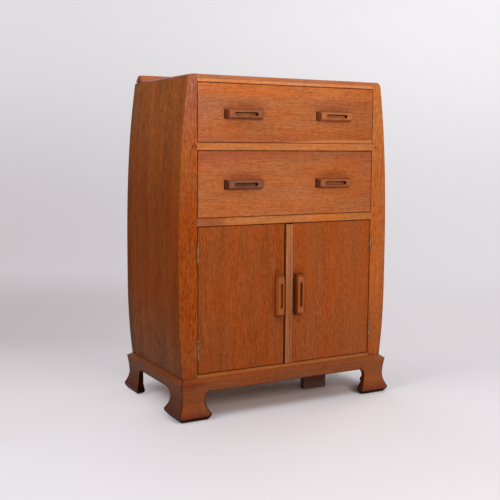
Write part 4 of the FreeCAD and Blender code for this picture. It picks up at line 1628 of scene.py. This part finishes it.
@dataclass
class Drawer:
    """A drawer of five boards with two handles, dovetailed at the front."""

    body: str
    oak: Oak
    shift: float
    wear_and_painted_light: Mapping[Side, WearAndPaintedLight]
    handle_z: float
    # Tints towards the front's edges, among them a painted sheen.
    edges: Sequence[Patch]
    pale_foot: float = 0.0
    handle_x: float = 164 * MM
    halo: Place = (98 * MM, 1.0, 42 * MM)
    halo_rise: float = 12 * MM
    ease: float = 1 * MM
    tail_length: float = 13 * MM
    tail_count: int = 3
    tail_root: float = 0.33
    tail_slope: float = 2.2 * MM
    side_proud: float = 0.12 * MM
    side_ease: float = 0.4 * MM
    handle: Handle = Handle()

    def build(self, bench: Bench) -> None:
        """Builds and dresses the drawer.

        Args:
            bench: the shared frame.
        """
        self.build_front(bench)
        for side in Side:
            self.build_side(bench, side)
        lining = bench.finishes.lining.material(self.body + "_back_finish", Grain.X, self.shift + 9)
        bench.board(self.body + "_back", self.body, "lining_oak", lining)
        sheet = bench.finishes.plywood.material(self.body + "_bottom_finish", Grain.X, self.shift + 4)
        bench.dress(self.body + "_bottom", sheet)
        self.build_handles(bench)

    def build_front(self, bench: Bench) -> None:
        """The front, darker where hands reach for the handles, with painted shade of its gaps and edge tints.

        Args:
            bench: the shared frame.
        """
        node = self.body + "_front"
        low, high = bench.box(node)
        # The rim is painted shade of the gaps round the front.
        marks: list[Patch] = [*self.edges, Rim(low, high)]
        for side in Side:
            spot = (side.value * self.handle_x, low[1], self.handle_z + self.halo_rise)
            marks.append(Mark(spot, self.halo, (0.72, 0.62, 0.66), 0.75, core=0.3, ragged=0.7))
        if self.pale_foot:
            marks.append(Wedge(start=-0.03, end=0.14, foot=low[2], rise=self.pale_foot,
                               tint=(0.50, 0.175, 0.062)))
        finish = self.oak.material(node + "_finish", Grain.X, self.shift, marks)
        bench.board(node, self.body, "drawer_oak", finish, self.ease)

    def build_side(self, bench: Bench, side: Side) -> None:
        """A side whose outline has dovetails let into the front, a hair proud of it.

        Args:
            bench: the shared frame.
            side: the side that it stands on.
        """
        node = self.body + "_side_" + side.name.lower()
        low, high = bench.box(node)
        tails = []
        pitch = (high[2] - low[2]) / self.tail_count
        for index in range(self.tail_count):
            middle = low[2] + pitch * (index + 0.5)
            root = pitch * self.tail_root
            tip, end = root + self.tail_slope, low[1] - self.tail_length
            tails.append([[low[1], middle + root], [end, middle + tip], [end, middle - tip],
                          [low[1], middle - root]])
        box = [[low[1], low[2]], [high[1], low[2]], [high[1], high[2]], [low[1], high[2]]]
        outline = np.concatenate([box, *tails[::-1]])
        inner, outer = sorted((abs(low[0]), abs(high[0])))
        ends = sorted((side.value * inner, side.value * (outer + self.side_proud)))
        surface = eased_slab(outline, *ends, (self.side_ease, self.side_ease), (1, 2, 0))
        finish = bench.finishes.lining.material(node + "_finish", Grain.Y, self.shift + side.value)
        bench.place(surface, node + "_dovetailed", self.body, "lining_oak", finish, [node])

    def build_handles(self, bench: Bench) -> None:
        """The two handles, and the heads of their screws inside the front.

        Args:
            bench: the shared frame.
        """
        low, high = bench.box(self.body + "_front")
        heads = Surface()
        for side in Side:
            node = self.body + "_handle_" + side.name.lower()
            centre = (side.value * self.handle_x, low[1], self.handle_z)
            shift = self.shift + side.value * 2
            self.handle.fit(bench, self.wear_and_painted_light[side], self.body, node, centre, Grain.X, shift)
            heads.joined(self.handle.screws(centre, high[1], Grain.X))
        bench.place(heads, self.body + "_screw_heads", self.body, "steel_screw", bench.steel,
                    [self.body + "_handle_screws"])


@dataclass(frozen=True)
class Hinges:
    """The four butt hinges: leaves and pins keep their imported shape, the screws get slotted heads."""

    axis_x: float = 319 * MM
    leaf_face: float = 0.15 * MM
    screw_y: float = -199.95 * MM
    lows: Span = (186.1 * MM, 484.9 * MM)
    height: float = 60 * MM
    spacing: float = 23 * MM

    def heads(self, side: Side, outward: int) -> Surface:
        """The countersunk heads of one side's leaves.

        Args:
            side: the side of the piece.
            outward: 1 in the stile and -1 in the door.

        Returns:
            The closed surfaces.
        """
        heads = Surface()
        x = side.value * (self.axis_x + outward * self.leaf_face)
        for low in self.lows:
            for step in (-1, 0, 1):
                z = low + self.height / 2 + step * self.spacing
                heads.joined(SUNK_HEAD.surface((x, self.screw_y, z), (-side.value * outward, 0, 0), 11 * z))
        return heads

    def build(self, bench: Bench) -> None:
        """Dresses the parts of the hinges that stay with the carcase.

        Args:
            bench: the shared frame.
        """
        heads = self.heads(Side.LEFT, 1).joined(self.heads(Side.RIGHT, 1))
        bench.place(heads, "frame_screw_heads", "carcase", "steel_screw", bench.steel, ["frame_hinge_screws"])
        bench.dress("frame_hinge_leaves", bench.brass)
        bench.dress("hinge_pins", bench.brass)


@dataclass
class Door:
    """A door of one wide board on two butt hinges, with an upright handle."""

    side: Side
    oak: Oak
    shift: float
    wear_and_painted_light: WearAndPaintedLight
    handle_x: float
    shade_x: float
    handle_z: float = 362 * MM
    halo: Place = (34 * MM, 1.0, 110 * MM)
    shade: Place = (10 * MM, 1.0, 84 * MM)
    ease: float = 1 * MM
    handle: Handle = Handle()
    hinges: Hinges = Hinges()

    def build(self, bench: Bench) -> None:
        """Builds and dresses the door, darker round the handle, with painted shade beside it and along its
        gaps.

        Args:
            bench: the shared frame.
        """
        body = self.side.name.lower() + "_door"
        low, high = bench.box(body + "_panel")
        centre = (self.handle_x, low[1], self.handle_z)
        shaded = (self.shade_x, low[1], self.handle_z)
        # The halo is where hands reach, and the door is darker towards the bottom. The rim is painted shade
        # of the gaps round the door, and the mark beside the handle is painted shade with some dirt.
        marks = [Mark(centre, self.halo, (0.66, 0.55, 0.5), 0.8, core=0.4, ragged=0.6),
                 Fade(Z, 0.42, 0.16, (0.91, 0.93, 0.98)), Rim(low, high),
                 Mark(shaded, self.shade, (0.28, 0.2, 0.17), 0.85, core=0.5, ragged=0.3)]
        if self.side is Side.LEFT:
            # Painted shadow of the gap by the meeting strip, and a painted sheen: lighter and bluer towards
            # the top.
            marks += [Fade(X, high[0] - 3 * MM, high[0] - 0.5 * MM, (0.45, 0.30, 0.25)),
                      Fade(Z, 0.50, 0.66, (1.08, 1.12, 1.2))]
        finish = self.oak.material(body + "_finish", Grain.Z, self.shift, marks)
        bench.board(body + "_panel", body, "door_oak", finish, self.ease)
        self.handle.fit(bench, self.wear_and_painted_light, body, body + "_handle", centre, Grain.Z, self.shift + 3)
        heads = self.handle.screws(centre, high[1], Grain.Z).joined(self.hinges.heads(self.side, -1))
        bench.place(heads, body + "_screw_heads", body, "steel_screw", bench.steel, [body + "_screws"])
        bench.dress(body + "_hinge_leaves", bench.brass)
        bench.dress(body + "_catch", bench.brass)


@dataclass
class MeetingStrip:
    """The pale strip on the right door, with lines of open grain at shares of its width."""

    ease: float = 2 * MM
    notch: float = 3 * MM
    line_reach: float = 2.2 * MM
    lines: Sequence[tuple[float, Colour]] = ((0.35, (0.72, 0.62, 0.58)), (0.62, (0.50, 0.38, 0.34)),
                                             (0.95, (0.50, 0.36, 0.30)))

    def build(self, bench: Bench) -> None:
        """Builds the strip, its top lower than the door's by the notch.

        Args:
            bench: the shared frame.
        """
        low, high = bench.box("meeting_strip")
        # Darker towards the bottom, with a painted shadow of the gap along the left edge; the marks below are
        # lines of open grain.
        marks: list[Patch] = [Fade(Z, 0.52, 0.2, (0.74, 0.66, 0.60)),
                              Fade(X, low[0] + 2 * MM, low[0], (0.45, 0.30, 0.25))]
        for share, tint in self.lines:
            spot = (low[0] + share * (high[0] - low[0]), low[1], 0.4)
            marks.append(Mark(spot, (self.line_reach, 1, 10), tint, 0.9, core=0.3))
        finish = bench.finishes.strip.material("meeting_strip_finish", Grain.Z, 2.5, marks)
        surface = eased_board(low, high - np.array([0, 0, self.notch]), self.ease)
        bench.place(surface, "meeting_strip_eased", "right_door", "strip_oak", finish, ["meeting_strip"])


# Light and camera


@dataclass(frozen=True)
class Lamp:
    """A soft square lamp that looks at the middle of the piece."""

    name: str
    place: Place
    size: float
    power: float
    colour: Colour = (0.98, 0.985, 1.0)
    target: Place = (0.0, 0.0, 0.5)

    def build(self) -> None:
        """Adds the lamp to the scene."""
        data = bpy.data.lights.new(self.name, "AREA")
        data.energy, data.size, data.color = self.power, self.size, self.colour
        lamp = bpy.data.objects.new(self.name, data)
        bpy.context.scene.collection.objects.link(lamp)
        lamp.location = self.place
        aim = Vector(self.target) - Vector(self.place)
        lamp.rotation_euler = aim.to_track_quat("-Z", "Y").to_euler()


@dataclass
class Studio:
    """Pale floor and backdrop, soft lamps and the camera at the photograph's angle."""

    eye: Place = (-1.4278, -2.5313, 0.8266)
    yaw: float = math.radians(29.02)
    pitch: float = math.radians(6.73)
    roll: float = math.radians(0.31)
    focal_pixels: float = 864.0
    image_pixels: float = 500.0
    sensor: float = 36.0
    pale: Colour = (0.78, 0.75, 0.768)
    under: Colour = (0.66, 0.54, 0.53)
    near: Colour = (0.76, 0.71, 0.73)
    far_left: Colour = (0.50, 0.465, 0.48)
    far_right: Colour = (0.71, 0.67, 0.69)
    dim: Colour = (0.55, 0.51, 0.53)
    bright: Colour = (0.905, 0.888, 0.912)
    floor_start: float = -7.0
    wall_depth: float = 5.0
    wall_height: float = 6.0
    wall_bend: float = 1.2
    half_width: float = 26.0
    under_x: Span = (0.42, 0.30)
    under_y: Span = (0.24, 0.15)
    left_x: Span = (-0.26, -0.40)
    left_y: Span = (-0.22, -0.02)
    left_share: float = 0.75
    behind: Span = (0.0, 0.75)
    round_about: Span = (3.2, 9.0)
    near_end: Span = (0.9, -0.55)
    wall_start: Span = (1.4, 3.0)
    floor_across: Span = (-1.3, 1.0)
    wall_across: Span = (-2.3, 2.3)
    wall_up: Span = (0.0, 2.1)
    lamps: Sequence[Lamp] = (Lamp("key", (0.3, -3.4, 2.0), 1.3, 68.0, (1.0, 0.985, 0.97)),
                             Lamp("overhead", (0.2, -1.5, 2.9), 1.4, 14.0),
                             Lamp("left", (-2.3, -0.4, 2.1), 1.2, 33.0),
                             Lamp("right", (3.2, 1.2, 2.0), 1.6, 32.0),
                             Lamp("back", (0.5, 3.6, 2.2), 1.6, 28.0))

    def build(self) -> None:
        """Builds the floor, the lamps, the world and the camera."""
        self.build_backdrop()
        for lamp in self.lamps:
            lamp.build()
        self.build_world()
        self.build_camera()
        bpy.context.scene.view_settings.view_transform = "Standard"

    def build_backdrop(self) -> None:
        """A floor that bends up into a wall: a line, a quarter arc and a line, carried sideways."""
        curve = arc((self.wall_depth - self.wall_bend, self.wall_bend), self.wall_bend, -math.pi / 2, 0, 16)
        profile = np.concatenate([[[self.floor_start, 0.0]], curve, [[self.wall_depth, self.wall_height]]])
        turn = Matrix.Rotation(-self.yaw, 4, "Z")
        points = np.empty((len(profile), 2, 3))
        points[..., 0] = (-self.half_width, self.half_width)
        points[..., 1:] = profile[:, None, :]
        surface = Surface()
        surface.grid(points)
        backdrop = bpy.data.objects.new("backdrop", surface.turned(turn).mesh("backdrop"))
        bpy.context.scene.collection.objects.link(backdrop)
        backdrop.data.materials.append(self.backdrop_finish())

    def backdrop_finish(self) -> bpy.types.Material:
        """A matt floor, and beyond the piece's shadow a pale ground whose tone is fixed.

        The ground's tone is painted light: it grows darker behind the piece, and lighter up the wall and to
        the right. It also reaches in along the left of the piece, a painted pool of light over the shadow
        there. The floor under the piece is a little darker and warmer, a painted shadow. Each pair of a soft
        step says where it starts and ends.

        Returns:
            The material.
        """
        shader = Shader(bpy.data.materials.new("backdrop_finish"))
        x, y, z = shader.position()
        away = x * math.sin(self.yaw) + y * math.cos(self.yaw)
        sideways = x * math.cos(self.yaw) - y * math.sin(self.yaw)
        # Painted light on the fixed ground: its tone rises up the wall and to the right, and darkens behind
        # the piece.
        lit = z.step(*self.wall_up) * 0.45 + sideways.step(*self.wall_across) * 0.45 + 0.10
        far = shader.mix(sideways.step(*self.floor_across), self.far_left, self.far_right)
        floor = shader.mix(away.step(*self.near_end), far, self.near)
        colour = shader.mix(away.step(*self.wall_start), floor, shader.mix(lit, self.dim, self.bright))
        speck = shader.noise(x * 3.0, y * 3.0, z * 3.0)
        # Painted shadow: the floor under the piece is darker and warmer.
        under = x.size().step(*self.under_x) * y.size().step(*self.under_y)
        cloth = shader.mix(under, self.pale, self.under)
        matt = shader.surface({"Base Color": cloth, "Roughness": speck * 0.1 + 0.75})
        ground = shader.surface({"Base Color": (0.0, 0.0, 0.0), "Roughness": 1.0, "Specular IOR Level": 0.0,
                                 "Emission Color": colour, "Emission Strength": 1.0})
        # Painted light: the fixed ground reaches in along the left of the piece, over the shadow there.
        left = x.step(*self.left_x) * y.step(*self.left_y) * self.left_share
        beyond = away.step(*self.behind).most(left).most((x * x + y * y).step(*self.round_about))
        return shader.finished(shader.blend(shader.seen() * beyond, matt, ground))

    def build_world(self) -> None:
        """Even pale light from all round, and the floor's tone where the camera looks past the backdrop."""
        world = bpy.data.worlds.new("studio")
        shader = Shader(world)
        light = shader.node("Background", {}, {"Color": (0.93, 0.94, 1.0), "Strength": 0.28})
        pale = shader.node("Background", {}, {"Color": self.near, "Strength": 1.0})
        shader.node("OutputWorld", {}, {"Surface": shader.blend(shader.seen(), light, pale)})
        bpy.context.scene.world = world

    def build_camera(self) -> None:
        """The camera: yaw and pitch give its view, and roll turns it about that."""
        ahead = Vector((math.sin(self.yaw), math.cos(self.yaw), 0))
        forward = math.cos(self.pitch) * ahead - math.sin(self.pitch) * Vector((0, 0, 1))
        level = Vector((math.cos(self.yaw), -math.sin(self.yaw), 0))
        upright = level.cross(forward)
        right = math.cos(self.roll) * level + math.sin(self.roll) * upright
        up = math.cos(self.roll) * upright - math.sin(self.roll) * level
        data = bpy.data.cameras.new("camera")
        data.sensor_width = self.sensor
        data.lens = self.focal_pixels / self.image_pixels * self.sensor
        camera = bpy.data.objects.new("camera", data)
        bpy.context.scene.collection.objects.link(camera)
        turn = Matrix((right, up, -forward)).transposed().to_4x4()
        camera.matrix_world = Matrix.Translation(self.eye) @ turn
        bpy.context.scene.camera = camera


def main() -> None:
    """Builds every sub-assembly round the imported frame, then the studio."""
    logging.basicConfig(level=logging.INFO, format="%(name)s: %(message)s")
    bench = Bench()
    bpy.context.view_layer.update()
    Carcase().build(bench)
    Base().build(bench)
    oaks = bench.finishes
    upper = {Side.LEFT: WearAndPaintedLight(oaks.handle, slot=(1.6, 1.6, 1.4), edge=(0.45, 0.35, 0.28),
                             end=(0.43, 0.33, 0.40)),
             Side.RIGHT: WearAndPaintedLight(oaks.bright_handle, slot=(1.1, 0.95, 0.7), edge=(1.15, 1.0, 0.55))}
    lower = {Side.LEFT: WearAndPaintedLight(oaks.dull_handle, slot=(0.9, 0.8, 0.7), edge=(0.32, 0.25, 0.22)),
             Side.RIGHT: WearAndPaintedLight(oaks.handle, slot=(1.5, 1.4, 1.1), edge=(1.15, 1.05, 0.8))}
    # Tints towards the drawer fronts' edges: a bluish painted sheen at the left of each, and darker or
    # lighter bands.
    upper_edges = (Fade(X, -0.20, -0.31, (1.0, 1.07, 1.4)), Fade(X, 0.12, 0.33, (0.87, 0.83, 0.83)),
                   Fade(Z, 0.90, 0.84, (0.90, 0.87, 1.0)), Fade(Z, 0.97, 1.0, (1.18, 1.16, 1.0)))
    lower_edges = (Fade(X, 0.12, 0.33, (0.90, 0.87, 0.90)), Fade(Z, 0.775, 0.806, (0.80, 0.77, 0.93)),
                   Mark((-0.24, 0, 0.79), (0.16, 1, 0.05), (0.95, 0.96, 1.4), 0.8, core=0.3, ragged=0.6))
    Drawer("upper_drawer", oaks.upper_drawer, 10.3, upper, 928 * MM, upper_edges, 11 * MM).build(bench)
    Drawer("lower_drawer", oaks.lower_drawer, 14.9, lower, 716.5 * MM, lower_edges).build(bench)
    left = WearAndPaintedLight(oaks.door_handle, slot=(1.3, 1.15, 0.8), soil=(1.15, 1.15, 0.5), left=(1.2, 1.05, 0.6),
                end=(0.8, 0.7, 0.8))
    right = WearAndPaintedLight(oaks.door_handle, slot=(0.9, 0.8, 0.7), soil=(1.0, 0.75, 0.45), left=(0.58, 0.46, 0.3),
                 edge=(1.1, 0.95, 0.6), end=(0.62, 0.56, 0.85))
    Door(Side.LEFT, oaks.left_door, 20.7, left, -34 * MM, -9 * MM).build(bench)
    Door(Side.RIGHT, oaks.right_door, 25.2, right, 38 * MM, 21 * MM).build(bench)
    MeetingStrip().build(bench)
    Hinges().build(bench)
    Studio().build()


if __name__ == "__main__":
    main()
